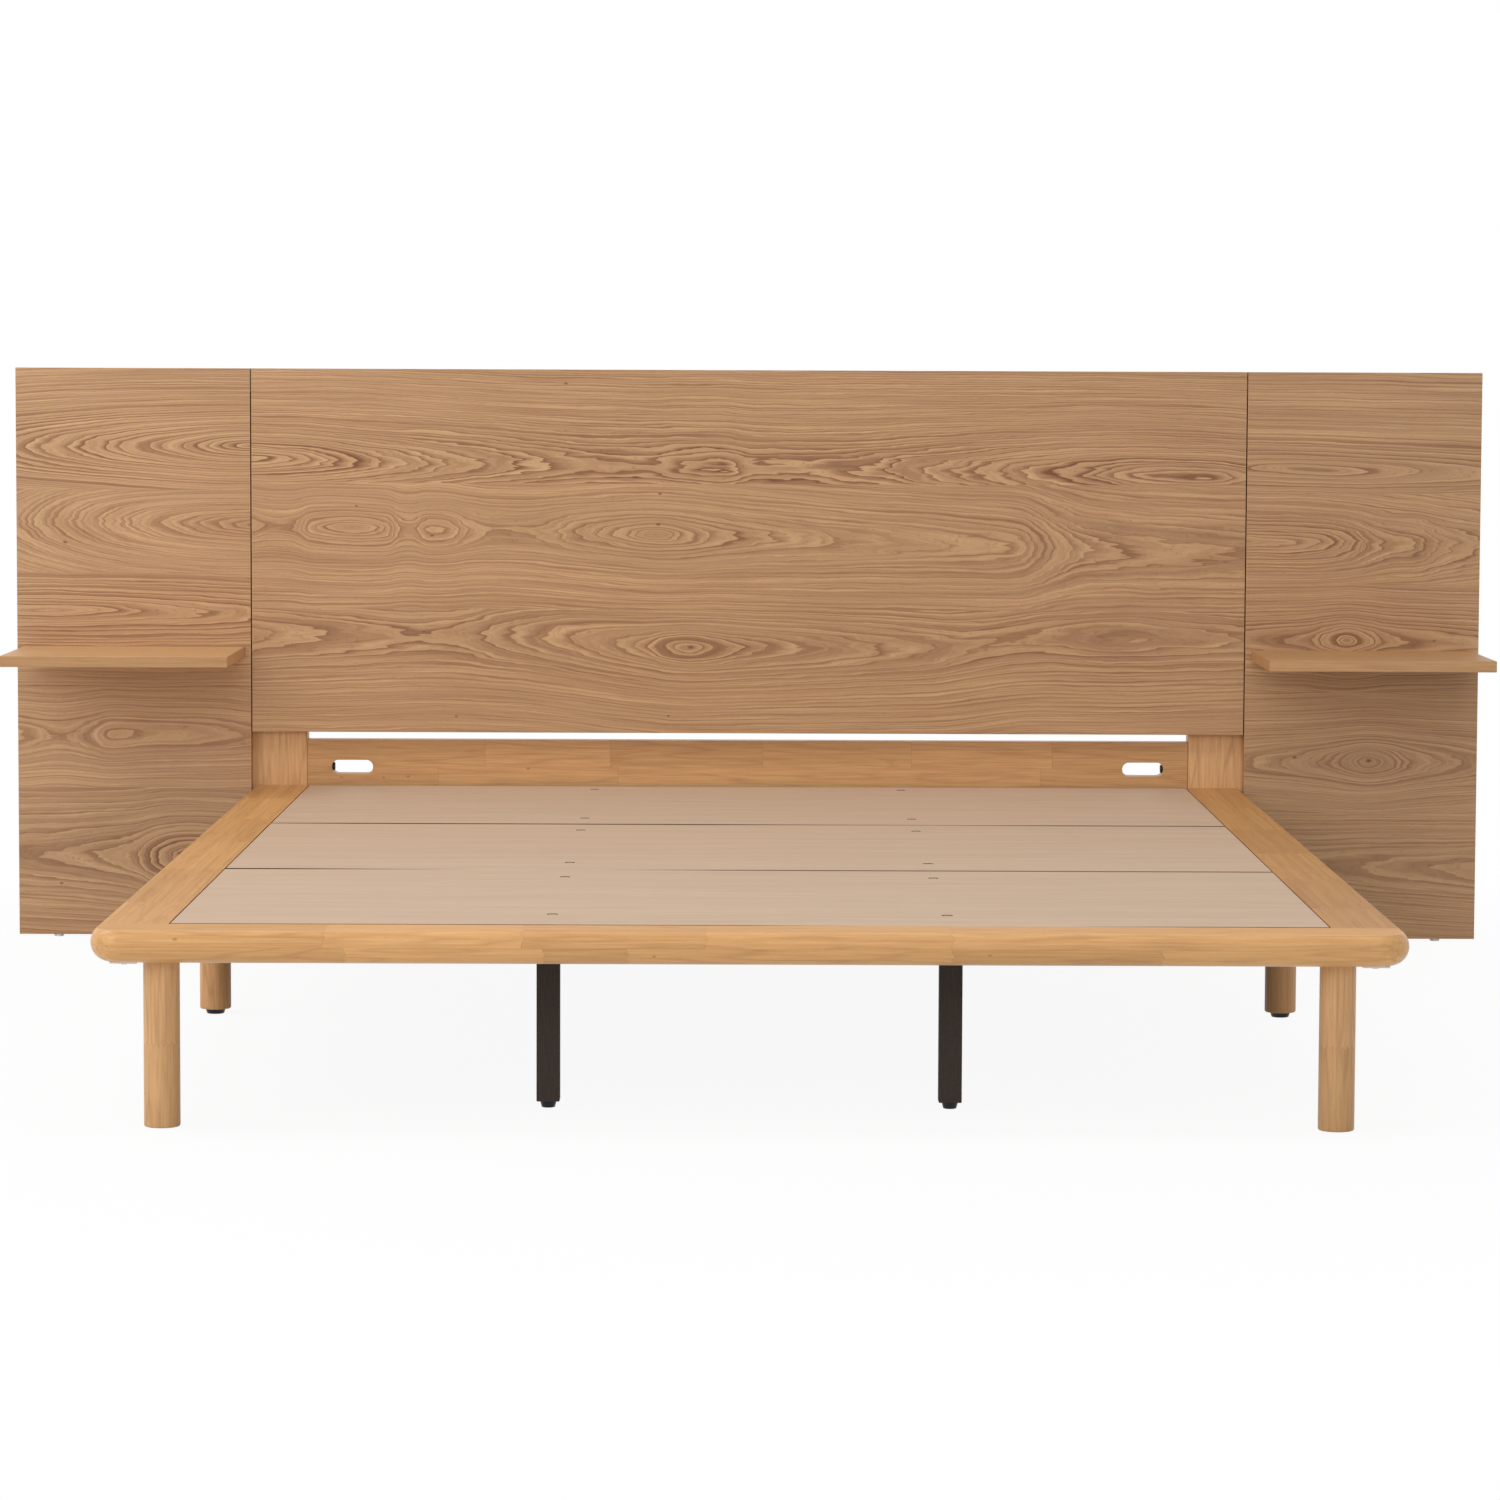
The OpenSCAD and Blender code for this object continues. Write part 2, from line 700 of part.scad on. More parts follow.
module corner_plates() {
    color("#8d9094") both_sides() difference() {
        slab([corner_plate_x - corner_plate_w / 2, field_front - corner_plate_l / 2,
              deck_bottom - sheet_t],
             [corner_plate_x + corner_plate_w / 2, field_front + corner_plate_l / 2, deck_bottom]);
        corner_screw_places() sheet_hole(sheet_t);
    }
}

// ---- Support under the boards

module side_ledger_screw_places() {
    for (y = side_ledger_screws_y) outwards([recess_half, y, ledger_mid]) children();
}

module ledger_side() {
    color("#c9a878") difference() {
        slab([recess_half - ledger_w, field_front, deck_bottom],
             [recess_half, post_front, board_bottom]);
        side_ledger_screw_places() screw_seat(ledger_face);
    }
}

// A through hole with a recess for the head, behind the face that the screw goes into
module screw_seat(depth) {
    translate([0, 0, -depth - screw_head_h - past])
        cylinder(r = screw_head_r + fit_gap, h = screw_head_h + past);
    sheet_hole(depth);
}

// Screws of the short ledgers: side is 1 at the rear rail and -1 at the front rail
module cross_ledger_screw_places(side) {
    for (span = cross_ledgers_x)
        for (x = spread(span[0] + ledger_screw_inset, span[1] - ledger_screw_inset,
                        ledger_screw_pitch))
            if (side > 0) towards_wall([x, post_front, ledger_mid]) children();
            else towards_foot([x, field_front, ledger_mid]) children();
}

// Three short ledgers on the front rail and three on the rear rail
module cross_ledgers() {
    color("#c9a878") difference() {
        for (from = [field_front, post_front - ledger_w]) for (span = cross_ledgers_x)
            slab([span[0], from, deck_bottom], [span[1], from + ledger_w, board_bottom]);
        for (side = [-1, 1]) cross_ledger_screw_places(side) screw_seat(ledger_face);
    }
}

module ledger_screws() {
    color("#a58b4a") {
        both_sides() side_ledger_screw_places() translate([0, 0, -ledger_face])
            wood_screw(ledger_screw_l);
        for (side = [-1, 1]) cross_ledger_screw_places(side) translate([0, 0, -ledger_face])
            wood_screw(ledger_screw_l);
    }
}

module centre_beam() {
    color("#c4a273") difference() {
        slab([beam_x - beam_w / 2, field_front, beam_bottom],
             [beam_x + beam_w / 2, post_front, board_bottom]);
        for (k = [0:board_count - 1]) for (y = board_screws_y(k))
            bar_z([screw_x, y, board_top - board_head_h - board_screw_l - fit_gap],
                screw_r + fit_gap, board_screw_l + board_head_h);
        for (y = centre_legs_y) downwards([centre_leg_x, y, board_bottom])
            bolt_hole(bolt_r, bolt_head_r, bolt_head_h, beam_h);
    }
}

// Tab screws of the two hangers of a beam: side is 1 at the rear rail and -1 at the front rail
module hanger_screw_places(side) {
    for (k = [-1, 1]) {
        x = beam_x + k * (hanger_half + tab_w / 2);
        if (side > 0) towards_wall([x, post_front, ledger_mid]) children();
        else towards_foot([x, field_front, ledger_mid]) children();
    }
}

// U-shaped sheet steel hangers that carry the ends of the beams
module beam_hangers() {
    color("#8d9094") both_sides() for (side = [-1, 1]) {
        face = side > 0 ? post_front : field_front;
        near = side > 0 ? face - hanger_l : face;
        tab = side > 0 ? face - sheet_t : face;
        difference() {
            translate([beam_x, 0, 0]) {
                slab([-hanger_half, near, beam_bottom - sheet_t],
                     [hanger_half, near + hanger_l, beam_bottom]);
                both_sides() {
                    slab([hanger_half - sheet_t, near, beam_bottom - sheet_t],
                         [hanger_half, near + hanger_l, board_bottom - tab_gap]);
                    slab([hanger_half - sheet_t, tab, deck_bottom + tab_gap],
                         [tab_end - tab_gap, tab + sheet_t, board_bottom - tab_gap]);
                }
            }
            hanger_screw_places(side) sheet_hole(sheet_t);
        }
    }
}

// The short screws of the brackets, plates and hangers
module bracket_screws() {
    color("#b9bbbe") both_sides() {
        wing_bracket_screw_places() translate([0, 0, -bracket_t]) wood_screw(short_screw_l);
        post_bracket_screw_places() translate([0, 0, -bracket_t]) wood_screw(short_screw_l);
        corner_screw_places() translate([0, 0, -sheet_t]) wood_screw(short_screw_l);
        for (side = [-1, 1]) hanger_screw_places(side)
            translate([0, 0, -sheet_t]) wood_screw(short_screw_l);
    }
}

// ---- Boards

// Board number k, counted from the headboard
module board(k) {
    color("#cdb09a") difference() {
        slab([-board_half, board_back(k) - board_l, board_bottom],
             [board_half, board_back(k), board_top]);
        both_sides() for (y = board_screws_y(k)) {
            bar_z([screw_x, y, board_bottom - past], screw_r + fit_gap, board_t + 2 * past);
            bar_z([screw_x, y, board_top - board_head_h], board_head_r + fit_gap,
                board_head_h + past);
        }
    }
}

module board_screws() {
    color("#9b8f82") both_sides() for (k = [0:board_count - 1]) for (y = board_screws_y(k)) {
        bar_z([screw_x, y, board_top - board_head_h], board_head_r, board_head_h);
        bar_z([screw_x, y, board_top - board_head_h - board_screw_l], screw_r,
            board_screw_l + board_head_h / 2);
    }
}

// ---- Legs

// A plain round leg that stands on the floor
module leg_front() {
    color("#cf9b60") translate([front_leg_x, front_leg_y, 0]) difference() {
        union() {
            cylinder(r1 = leg_d / 2 - leg_chamfer, r2 = leg_d / 2, h = leg_chamfer);
            translate([0, 0, leg_chamfer]) cylinder(r = leg_d / 2, h = deck_bottom - leg_chamfer);
        }
        translate([0, 0, deck_bottom - stud_in_top - fit_gap])
            cylinder(r = bolt_r + fit_gap, h = stud_in_top + past);
    }
}

// A round leg with a levelling foot
module leg_mid() {
    color("#cf9b60") translate([mid_leg_x, mid_leg_y, 0]) difference() {
        translate([0, 0, side_pad_h]) cylinder(r = leg_d / 2, h = deck_bottom - side_pad_h);
        translate([0, 0, deck_bottom - stud_in_top - fit_gap])
            cylinder(r = bolt_r + fit_gap, h = stud_in_top + past);
        translate([0, 0, side_pad_h]) insert_hole(bolt_r, insert_l, stud_in_leg);
    }
}

// The studs that join the round legs to the frame
module leg_studs() {
    color("#8f9296") both_sides()
        for (at = [[front_leg_x, front_leg_y], [mid_leg_x, mid_leg_y]])
            bar_z([at[0], at[1], deck_bottom - stud_in_top], bolt_r, stud_in_top + bolt_past);
}

// A square leg under a beam: number 0 is at the front rail, 1 at the headboard
module centre_leg(number) {
    half = centre_leg_w / 2;
    color("#2e2826") translate([centre_leg_x, centre_legs_y[number], 0]) difference() {
        slab([-half, -half, centre_pad_h], [half, half, beam_bottom]);
        translate([0, 0, centre_pad_h]) insert_hole(bolt_r, insert_l, stud_in_leg);
        downwards([0, 0, beam_bottom]) insert_hole(bolt_r, insert_l, bolt_past);
    }
}

module centre_leg_bolts() {
    depth = bolt_head_h + head_sink;
    color("#8f9296") both_sides() for (y = centre_legs_y)
        downwards([centre_leg_x, y, board_bottom - depth])
            cap_bolt(bolt_r, bolt_head_r, bolt_head_h, beam_h - depth + bolt_past);
}

// Threaded inserts for the large bolts and studs
module inserts_large() {
    color("#b08d3f") both_sides() {
        outwards([post_in, rail_mid_y, slot_z]) insert(bolt_r, insert_l);
        translate([front_leg_x, front_leg_y, deck_bottom]) insert(bolt_r, insert_l);
        translate([mid_leg_x, mid_leg_y, deck_bottom]) insert(bolt_r, insert_l);
        translate([mid_leg_x, mid_leg_y, side_pad_h]) insert(bolt_r, insert_l);
        for (y = centre_legs_y) translate([centre_leg_x, y, 0]) {
            translate([0, 0, centre_pad_h]) insert(bolt_r, insert_l);
            translate([0, 0, beam_bottom - insert_l]) insert(bolt_r, insert_l);
        }
    }
}

// Threaded inserts for the panel and shelf bolts
module inserts_small() {
    color("#b08d3f") both_sides() {
        for (z = post_bolts_z) towards_foot([post_mid, post_front, z])
            insert(small_bolt_r, small_insert_l);
        for (x = shelf_bolts_x) towards_foot([x, head_y, shelf_mid])
            insert(small_bolt_r, small_insert_l);
    }
}

// ---- Levelling feet

// A stud whose collar is held in the foot that turns on it
module foot_stud(at, leg_height) {
    color("#6f7276") translate([at[0], at[1], pad_floor + run_gap]) {
        cylinder(r = bolt_r, h = leg_height + stud_in_leg - pad_floor - run_gap);
        cylinder(r = bolt_r + collar_step, h = collar_h);
    }
}

module foot_pad(at, leg_height, r) {
    color("#191919") translate([at[0], at[1], 0]) difference() {
        cylinder(r1 = r - pad_taper, r2 = r, h = leg_height - seat_gap);
        translate([0, 0, pad_floor])
            cylinder(r = bolt_r + collar_step + run_gap, h = collar_h + 2 * run_gap);
        translate([0, 0, pad_floor]) cylinder(r = bolt_r + run_gap, h = leg_height);
    }
}

side_foot_at = [mid_leg_x, mid_leg_y];
front_foot_at = [centre_leg_x, centre_legs_y[0]];
rear_foot_at = [centre_leg_x, centre_legs_y[1]];

module left() {
    mirror([1, 0, 0]) children();
}

headboard_panel();
left() wing_panel();  // wing_panel_left
wing_panel();  // wing_panel_right
left() post();  // post_left
post();  // post_right
rear_rail();
left() rear_rail_end();  // rear_rail_left
rear_rail_end();  // rear_rail_right
rear_rail_bolts();
panel_bolts();
wing_brackets();
wing_glides();
left() shelf();  // shelf_left
shelf();  // shelf_right
left() shelf_batten();  // shelf_batten_left
shelf_batten();  // shelf_batten_right
shelf_bolts();
front_rail();
left() side_rail();  // side_rail_left
side_rail();  // side_rail_right
side_rail_bolts();
side_rail_nuts();
corner_dowels();
corner_plates();
left() ledger_side();  // ledger_left
ledger_side();  // ledger_right
cross_ledgers();
ledger_screws();
left() centre_beam();  // centre_beam_left
centre_beam();  // centre_beam_right
beam_hangers();
bracket_screws();
board(0);  // board_rear
board(1);  // board_middle
board(2);  // board_front
board_screws();
left() leg_front();  // leg_front_left
leg_front();  // leg_front_right
left() leg_mid();  // leg_mid_left
leg_mid();  // leg_mid_right
leg_studs();
left() centre_leg(0);  // centre_leg_front_left
centre_leg(0);  // centre_leg_front_right
left() centre_leg(1);  // centre_leg_rear_left
centre_leg(1);  // centre_leg_rear_right
centre_leg_bolts();
inserts_large();
inserts_small();
left() foot_stud(side_foot_at, side_pad_h);  // foot_stud_mid_left
foot_stud(side_foot_at, side_pad_h);  // foot_stud_mid_right
left() foot_stud(front_foot_at, centre_pad_h);  // foot_stud_front_left
foot_stud(front_foot_at, centre_pad_h);  // foot_stud_front_right
left() foot_stud(rear_foot_at, centre_pad_h);  // foot_stud_rear_left
foot_stud(rear_foot_at, centre_pad_h);  // foot_stud_rear_right
left() foot_pad(side_foot_at, side_pad_h, side_pad_r);  // foot_pad_mid_left
foot_pad(side_foot_at, side_pad_h, side_pad_r);  // foot_pad_mid_right
left() foot_pad(front_foot_at, centre_pad_h, centre_pad_r);  // foot_pad_front_left
foot_pad(front_foot_at, centre_pad_h, centre_pad_r);  // foot_pad_front_right
left() foot_pad(rear_foot_at, centre_pad_h, centre_pad_r);  // foot_pad_rear_left
foot_pad(rear_foot_at, centre_pad_h, centre_pad_r);  // foot_pad_rear_right
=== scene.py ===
import math
import bmesh
import bpy
from mathutils import Matrix, Vector


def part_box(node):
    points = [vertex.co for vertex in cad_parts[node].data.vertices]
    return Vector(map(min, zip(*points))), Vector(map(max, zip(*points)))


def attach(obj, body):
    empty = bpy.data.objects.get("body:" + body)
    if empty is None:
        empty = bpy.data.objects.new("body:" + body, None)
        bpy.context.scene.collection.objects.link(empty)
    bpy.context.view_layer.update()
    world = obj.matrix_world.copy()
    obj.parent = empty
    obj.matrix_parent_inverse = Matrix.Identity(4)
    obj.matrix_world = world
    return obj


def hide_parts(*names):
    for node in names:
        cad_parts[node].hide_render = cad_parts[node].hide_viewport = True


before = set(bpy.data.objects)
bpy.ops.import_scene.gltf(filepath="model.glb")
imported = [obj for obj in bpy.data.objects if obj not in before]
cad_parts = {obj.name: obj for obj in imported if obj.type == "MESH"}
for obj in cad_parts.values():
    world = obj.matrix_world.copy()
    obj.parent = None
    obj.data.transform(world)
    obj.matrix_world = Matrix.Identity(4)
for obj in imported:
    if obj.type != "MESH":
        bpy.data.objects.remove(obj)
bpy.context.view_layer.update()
scene = bpy.context.scene
mm = 0.001
touch = 0.01 * mm  # places nearer than this are one place
weld = 0.001 * mm  # and corners of CAD meshes nearer than this are one corner
past = 5 * mm      # how far a cutter stands out of what it cuts
print("frame loaded:", len(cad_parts), "nodes")


def deselectAll():
    if bpy.context.mode != "OBJECT":
        bpy.ops.object.mode_set(mode="OBJECT")
    bpy.ops.object.select_all(action="DESELECT")


def pick(piece):
    deselectAll()
    piece.select_set(True)
    bpy.context.view_layer.objects.active = piece


def applyPlace(piece):
    pick(piece)
    bpy.ops.object.transform_apply(location=True, rotation=True, scale=True)


def addBlock(name, low, high):  # corners in metres
    deselectAll()
    low, high = Vector(low), Vector(high)
    bpy.ops.mesh.primitive_cube_add(size=1, location=(low + high) / 2)
    piece = bpy.context.object
    piece.name = name
    piece.scale = high - low
    applyPlace(piece)
    return piece


def addRod(name, centre, radius, length, along="Z", topRadius=None, sides=64):
    # a round bar, or a taper where topRadius is given
    turn = {"Z": (0, 0, 0), "Y": (-math.pi / 2, 0, 0), "X": (0, math.pi / 2, 0)}[along]
    deselectAll()
    bpy.ops.mesh.primitive_cone_add(
        vertices=sides, radius1=radius, radius2=radius if topRadius is None else topRadius,
        depth=length, location=centre, rotation=turn)
    piece = bpy.context.object
    piece.name = name
    applyPlace(piece)
    return piece


def selectEdges(piece, wanted):  # wanted(a, b) is asked with the places of both ends
    pick(piece)
    bpy.ops.object.mode_set(mode="EDIT")
    bpy.ops.mesh.select_mode(type="EDGE")
    bpy.ops.mesh.select_all(action="DESELECT")
    mesh = bmesh.from_edit_mesh(piece.data)
    for edge in mesh.edges:
        if wanted(edge.verts[0].co, edge.verts[1].co):
            edge.select_set(True)
    bmesh.update_edit_mesh(piece.data)


def roundEdges(piece, wanted, width, steps):
    selectEdges(piece, wanted)
    bpy.ops.mesh.bevel(offset=width, segments=steps, affect="EDGES", clamp_overlap=False)
    bpy.ops.object.mode_set(mode="OBJECT")


def easeEdges(piece, width, steps=2, angle=35):
    pick(piece)
    bevel = piece.modifiers.new("easedEdges", "BEVEL")
    bevel.width = width
    bevel.segments = steps
    bevel.limit_method = "ANGLE"
    bevel.angle_limit = math.radians(angle)
    bpy.ops.object.modifier_apply(modifier=bevel.name)


# Questions about an edge, for roundEdges

def same(first, second):
    return abs(first - second) < touch


def atHeight(z):
    return lambda a, b: same(a.z, z) and same(b.z, z)


def upright(a, b):
    return abs(a.z - b.z) > 1 * mm


def lengthwise(a, b):
    return abs(a.y - b.y) > 1 * mm


def cutWith(piece, cutter):
    pick(piece)
    cut = piece.modifiers.new("cut", "BOOLEAN")
    cut.operation = "DIFFERENCE"
    cut.solver = "EXACT"
    cut.object = cutter
    bpy.ops.object.modifier_apply(modifier=cut.name)
    bpy.data.objects.remove(cutter, do_unlink=True)


def joinPieces(name, pieces):
    deselectAll()
    for piece in pieces:
        piece.select_set(True)
    bpy.context.view_layer.objects.active = pieces[0]
    bpy.ops.object.join()
    pieces[0].name = name
    return pieces[0]


def addObject(name, data):
    made = bpy.data.objects.new(name, data)
    scene.collection.objects.link(made)
    return made


def mergedCopy(node, name):  # a CAD node's mesh with its loose triangles joined up
    made = addObject(name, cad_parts[node].data.copy())
    pick(made)
    bpy.ops.object.mode_set(mode="EDIT")
    bpy.ops.mesh.select_all(action="SELECT")
    bpy.ops.mesh.remove_doubles(threshold=weld)
    bpy.ops.mesh.dissolve_limited(angle_limit=math.radians(0.5))
    bpy.ops.object.mode_set(mode="OBJECT")
    return made


def solidBoxes(node):  # the box of every separate solid in a CAD node
    mesh = bmesh.new()
    mesh.from_mesh(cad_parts[node].data)
    bmesh.ops.remove_doubles(mesh, verts=mesh.verts, dist=weld)
    left, boxes = set(mesh.verts), []
    while left:
        island, waiting = set(), [left.pop()]
        while waiting:
            vert = waiting.pop()
            island.add(vert)
            for link in vert.link_edges:
                other = link.other_vert(vert)
                if other in left:
                    left.remove(other)
                    waiting.append(other)
        places = [v.co for v in island]
        boxes.append((Vector(min(p[i] for p in places) for i in range(3)),
                      Vector(max(p[i] for p in places) for i in range(3))))
    mesh.free()
    return sorted(boxes, key=lambda box: tuple(box[0]))


def sinkBolts(piece, bolts, box, depth, room, sides):  # recesses in a back face, for bolt heads
    low, high = box
    for boltLow, boltHigh in solidBoxes(bolts):
        middle = (boltLow + boltHigh) / 2
        if low.x < middle.x < high.x:
            cutWith(piece, addRod("recess", (middle.x, high.y + (past - depth) / 2, middle.z),
                                  (boltHigh.x - boltLow.x) / 2 + room, depth + past, "Y",
                                  sides=sides))


def finishPiece(piece, material, slotName, *nodes, body="frame"):
    piece.data.materials.clear()
    piece.data.materials.append(material)
    pick(piece)
    bpy.ops.object.shade_smooth_by_angle(angle=math.radians(30))
    weigh = piece.modifiers.new("flatFaces", "WEIGHTED_NORMAL")  # large faces stay flat
    weigh.keep_sharp = True
    bpy.ops.object.modifier_apply(modifier=weigh.name)
    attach(piece, body)
    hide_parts(*nodes)


# Node helpers: each gives the socket that the next node takes

def paint(red, green, blue):  # a colour as a picture shows it, 0 to 255
    def linear(value):
        value /= 255
        return value / 12.92 if value <= 0.04045 else ((value + 0.055) / 1.055) ** 2.4
    return (linear(red), linear(green), linear(blue), 1.0)


def grey(level):
    return (level, level, level, 1)


def feed(tree, socket, value):
    if isinstance(value, bpy.types.NodeSocket):
        tree.links.new(value, socket)
    else:
        socket.default_value = value


def addNode(tree, kind, feeds=None, **settings):
    made = tree.nodes.new("ShaderNode" + kind)
    for name, value in settings.items():
        setattr(made, name, value)
    for name, value in (feeds or {}).items():
        feed(tree, made.inputs[name], value)
    return made


def calc(tree, operation, *values):
    made = addNode(tree, "Math", operation=operation)
    for index, value in enumerate(values):
        feed(tree, made.inputs[index], value)
    return made.outputs[0]


def times(tree, first, *others):
    for other in others:
        first = calc(tree, "MULTIPLY", first, other)
    return first


def plus(tree, first, second):
    return calc(tree, "ADD", first, second)


def minus(tree, first, second):
    return calc(tree, "SUBTRACT", first, second)


def over(tree, first, second):
    return calc(tree, "DIVIDE", first, second)


def apart(tree, first, second):  # how far two numbers are from each other
    return calc(tree, "ABSOLUTE", minus(tree, first, second))


def below(tree, value, limit):  # 1 where the value is under the limit, and 0 elsewhere
    return calc(tree, "LESS_THAN", value, limit)


def zigzag(tree, value):  # up to a half and back to 0 with every 1 of the value
    return calc(tree, "PINGPONG", value, 0.5)


def between(tree, value, low, high, newLow=0.0, newHigh=1.0):  # a stretch of values, clamped
    made = addNode(tree, "MapRange", {"Value": value, "From Min": low, "From Max": high,
                                      "To Min": newLow, "To Max": newHigh})
    return made.outputs["Result"]


def aroundOne(tree, value, spread):  # from 0 to 1 into a factor a little under or over 1
    return between(tree, value, 0, 1, 1 - spread, 1 + spread)


def blend(tree, factor, first, second, how="MIX"):  # colours: sockets 6 and 7, and 2
    made = addNode(tree, "Mix", {0: factor, 6: first, 7: second}, data_type="RGBA", blend_type=how)
    return made.outputs[2]


def choose(tree, factor, first, second):  # numbers: sockets 2 and 3, and 0
    return addNode(tree, "Mix", {0: factor, 2: first, 3: second}, data_type="FLOAT").outputs[0]


def vector(tree, x, y, z):
    return addNode(tree, "CombineXYZ", {"X": x, "Y": y, "Z": z}).outputs[0]


def lengthOf(tree, place):
    return addNode(tree, "VectorMath", {0: place}, operation="LENGTH").outputs["Value"]


def noise(tree, place, scale=1.0, detail=2.0, roughness=0.5):
    made = addNode(tree, "TexNoise", {"Vector": place, "Scale": scale, "Detail": detail,
                                      "Roughness": roughness})
    return made.outputs["Fac"]


def greyRamp(tree, value, stops, how="LINEAR"):  # from (place, level) pairs
    made = addNode(tree, "ValToRGB", {"Fac": value})
    ramp = made.color_ramp
    ramp.interpolation = how
    while len(ramp.elements) < len(stops):
        ramp.elements.new(0.5)
    for element, (place, level) in zip(ramp.elements, stops):
        element.position = place
        element.color = grey(level)
    return made.outputs["Color"]


def curve(tree, value, points):  # a smooth curve through points from 0 to 1
    made = addNode(tree, "FloatCurve", {"Value": value})
    line = made.mapping.curves[0]
    line.points[0].location = points[0]
    line.points[1].location = points[-1]
    for point in points[1:-1]:
        line.points.new(*point)
    for point in line.points:  # sharp where it comes down to 0
        point.handle_type = "VECTOR" if point.location[1] < 0.001 else "AUTO_CLAMPED"
    made.mapping.update()
    return made.outputs[0]


def newGroup(name, inputs, outputs):
    group = bpy.data.node_groups.new(name, "ShaderNodeTree")
    for label, value in inputs.items():
        socket = group.interface.new_socket(label, in_out="INPUT", socket_type="NodeSocketFloat")
        socket.default_value = value
    for label in outputs:
        group.interface.new_socket(label, in_out="OUTPUT", socket_type="NodeSocketFloat")
    given = group.nodes.new("NodeGroupInput").outputs
    gives = group.nodes.new("NodeGroupOutput").inputs
    return group, given, gives


def useGroup(tree, group, **values):  # streakLength feeds the input named Streak Length
    made = tree.nodes.new("ShaderNodeGroup")
    made.node_tree = group
    for name, value in values.items():
        label = "".join(" " + letter if letter.isupper() else letter for letter in name)
        feed(tree, made.inputs[label.title()], value)
    return made.outputs


def newMaterial(name, **plain):  # plain values go on the shader's own sockets
    made = bpy.data.materials.new(name)
    made.use_nodes = True
    sockets = made.node_tree.nodes["Principled BSDF"].inputs
    for label, value in plain.items():
        sockets[label.replace("_", " ")].default_value = value
    return made, made.node_tree, sockets


def placeOn(tree):  # X, Y and Z of a point on the object, in metres, and of the way it faces
    source = addNode(tree, "TexCoord").outputs
    return [addNode(tree, "SeparateXYZ", {"Vector": source[kind]}).outputs
            for kind in ("Object", "Normal")]


def bump(tree, sockets, height, depth, strength):
    made = addNode(tree, "Bump", {"Height": height, "Distance": depth, "Strength": strength})
    feed(tree, sockets["Normal"], made.outputs["Normal"])


def finishWood(tree, sockets, look, wood, tint, fibre, dents):
    feed(tree, sockets["Base Color"], blend(tree, 1.0, wood, tint, "MULTIPLY"))
    feed(tree, sockets["Roughness"], between(
        tree, fibre["Streak"], 0, 1, look["roughness"] + look["streakPolish"], look["roughness"]))
    ridges = times(tree, fibre["Streak"], look["streakRelief"])
    bump(tree, sockets, minus(tree, ridges, dents), *look["relief"])


# Fine wood fibre: long streaks, short dark pores and slow bands of tone

fibreLook = {
    "seedStep": 7.31,
    "lean": 6 * mm,            # how far the fibres swing sideways
    "leanPitch": (3.1, 6.0),   # swings in a metre, along and across
    "bandPitch": (1.3, 26.0),
    "streaks": (0.3, 0.7),     # the noise levels at which they start and are full
    "pores": (0.62, 0.74),
    "bands": (0.3, 0.7),
}


def makeWoodFibre():
    tree, given, gives = newGroup("woodFibre", {
        "Along": 0, "Across": 0, "Deep": 0, "Streak Length": 0.07, "Streak Width": 0.0022,
        "Pore Length": 0.009, "Pore Width": 0.0006, "Seed": 0}, ("Streak", "Pore", "Band"))
    shift = times(tree, given["Seed"], fibreLook["seedStep"])
    leanAlong, leanAcross = fibreLook["leanPitch"]
    lean = noise(tree, vector(tree, times(tree, given["Along"], leanAlong),
                              times(tree, given["Across"], leanAcross), shift))
    leaning = calc(tree, "MULTIPLY_ADD", lean, fibreLook["lean"], given["Across"])

    def drawnOut(length, width):  # places for a noise with spots of this size
        return vector(tree, plus(tree, over(tree, given["Along"], length), shift),
                      over(tree, leaning, width), over(tree, given["Deep"], width))

    streak = noise(tree, drawnOut(given["Streak Length"], given["Streak Width"]), detail=3,
                   roughness=0.6)
    pore = noise(tree, drawnOut(given["Pore Length"], given["Pore Width"]), detail=1)
    bandAlong, bandAcross = fibreLook["bandPitch"]
    band = noise(tree, vector(tree, calc(tree, "MULTIPLY_ADD", given["Along"], bandAlong, shift),
                              times(tree, leaning, bandAcross),
                              times(tree, given["Deep"], bandAcross)), detail=2)
    feed(tree, gives["Streak"], between(tree, streak, *fibreLook["streaks"]))
    feed(tree, gives["Pore"], between(tree, pore, *fibreLook["pores"]))
    feed(tree, gives["Band"], between(tree, band, *fibreLook["bands"]))
    return tree


# Growth rings of a flat-sawn leaf: Across is the distance from the heart line, and Depth is how
# far under the surface the heart of the log lies, so where Depth grows the rings run to a point

ringLook = {
    "seedStep": 11.7,
    "sway": 14 * mm,           # how far the lines wander up and down
    "swayPitch": (2.5, 9.0),   # wanderings in a metre, along and across
    "jag": 2.0,                # how ragged a line is, in gaps between rings
    "jagPitch": (11.0, 85.0),
    "uneven": 1.6,             # how much the gaps differ from each other
    "unevenPitch": 0.6,
    "faintest": 0.45,          # share of the darkest line
    "shade": ((0.0, 1), (0.10, 0.85), (0.30, 0.42), (0.55, 0.14), (0.90, 0), (0.96, 0.05),
              (1.0, 1)),       # from one line to the next
}


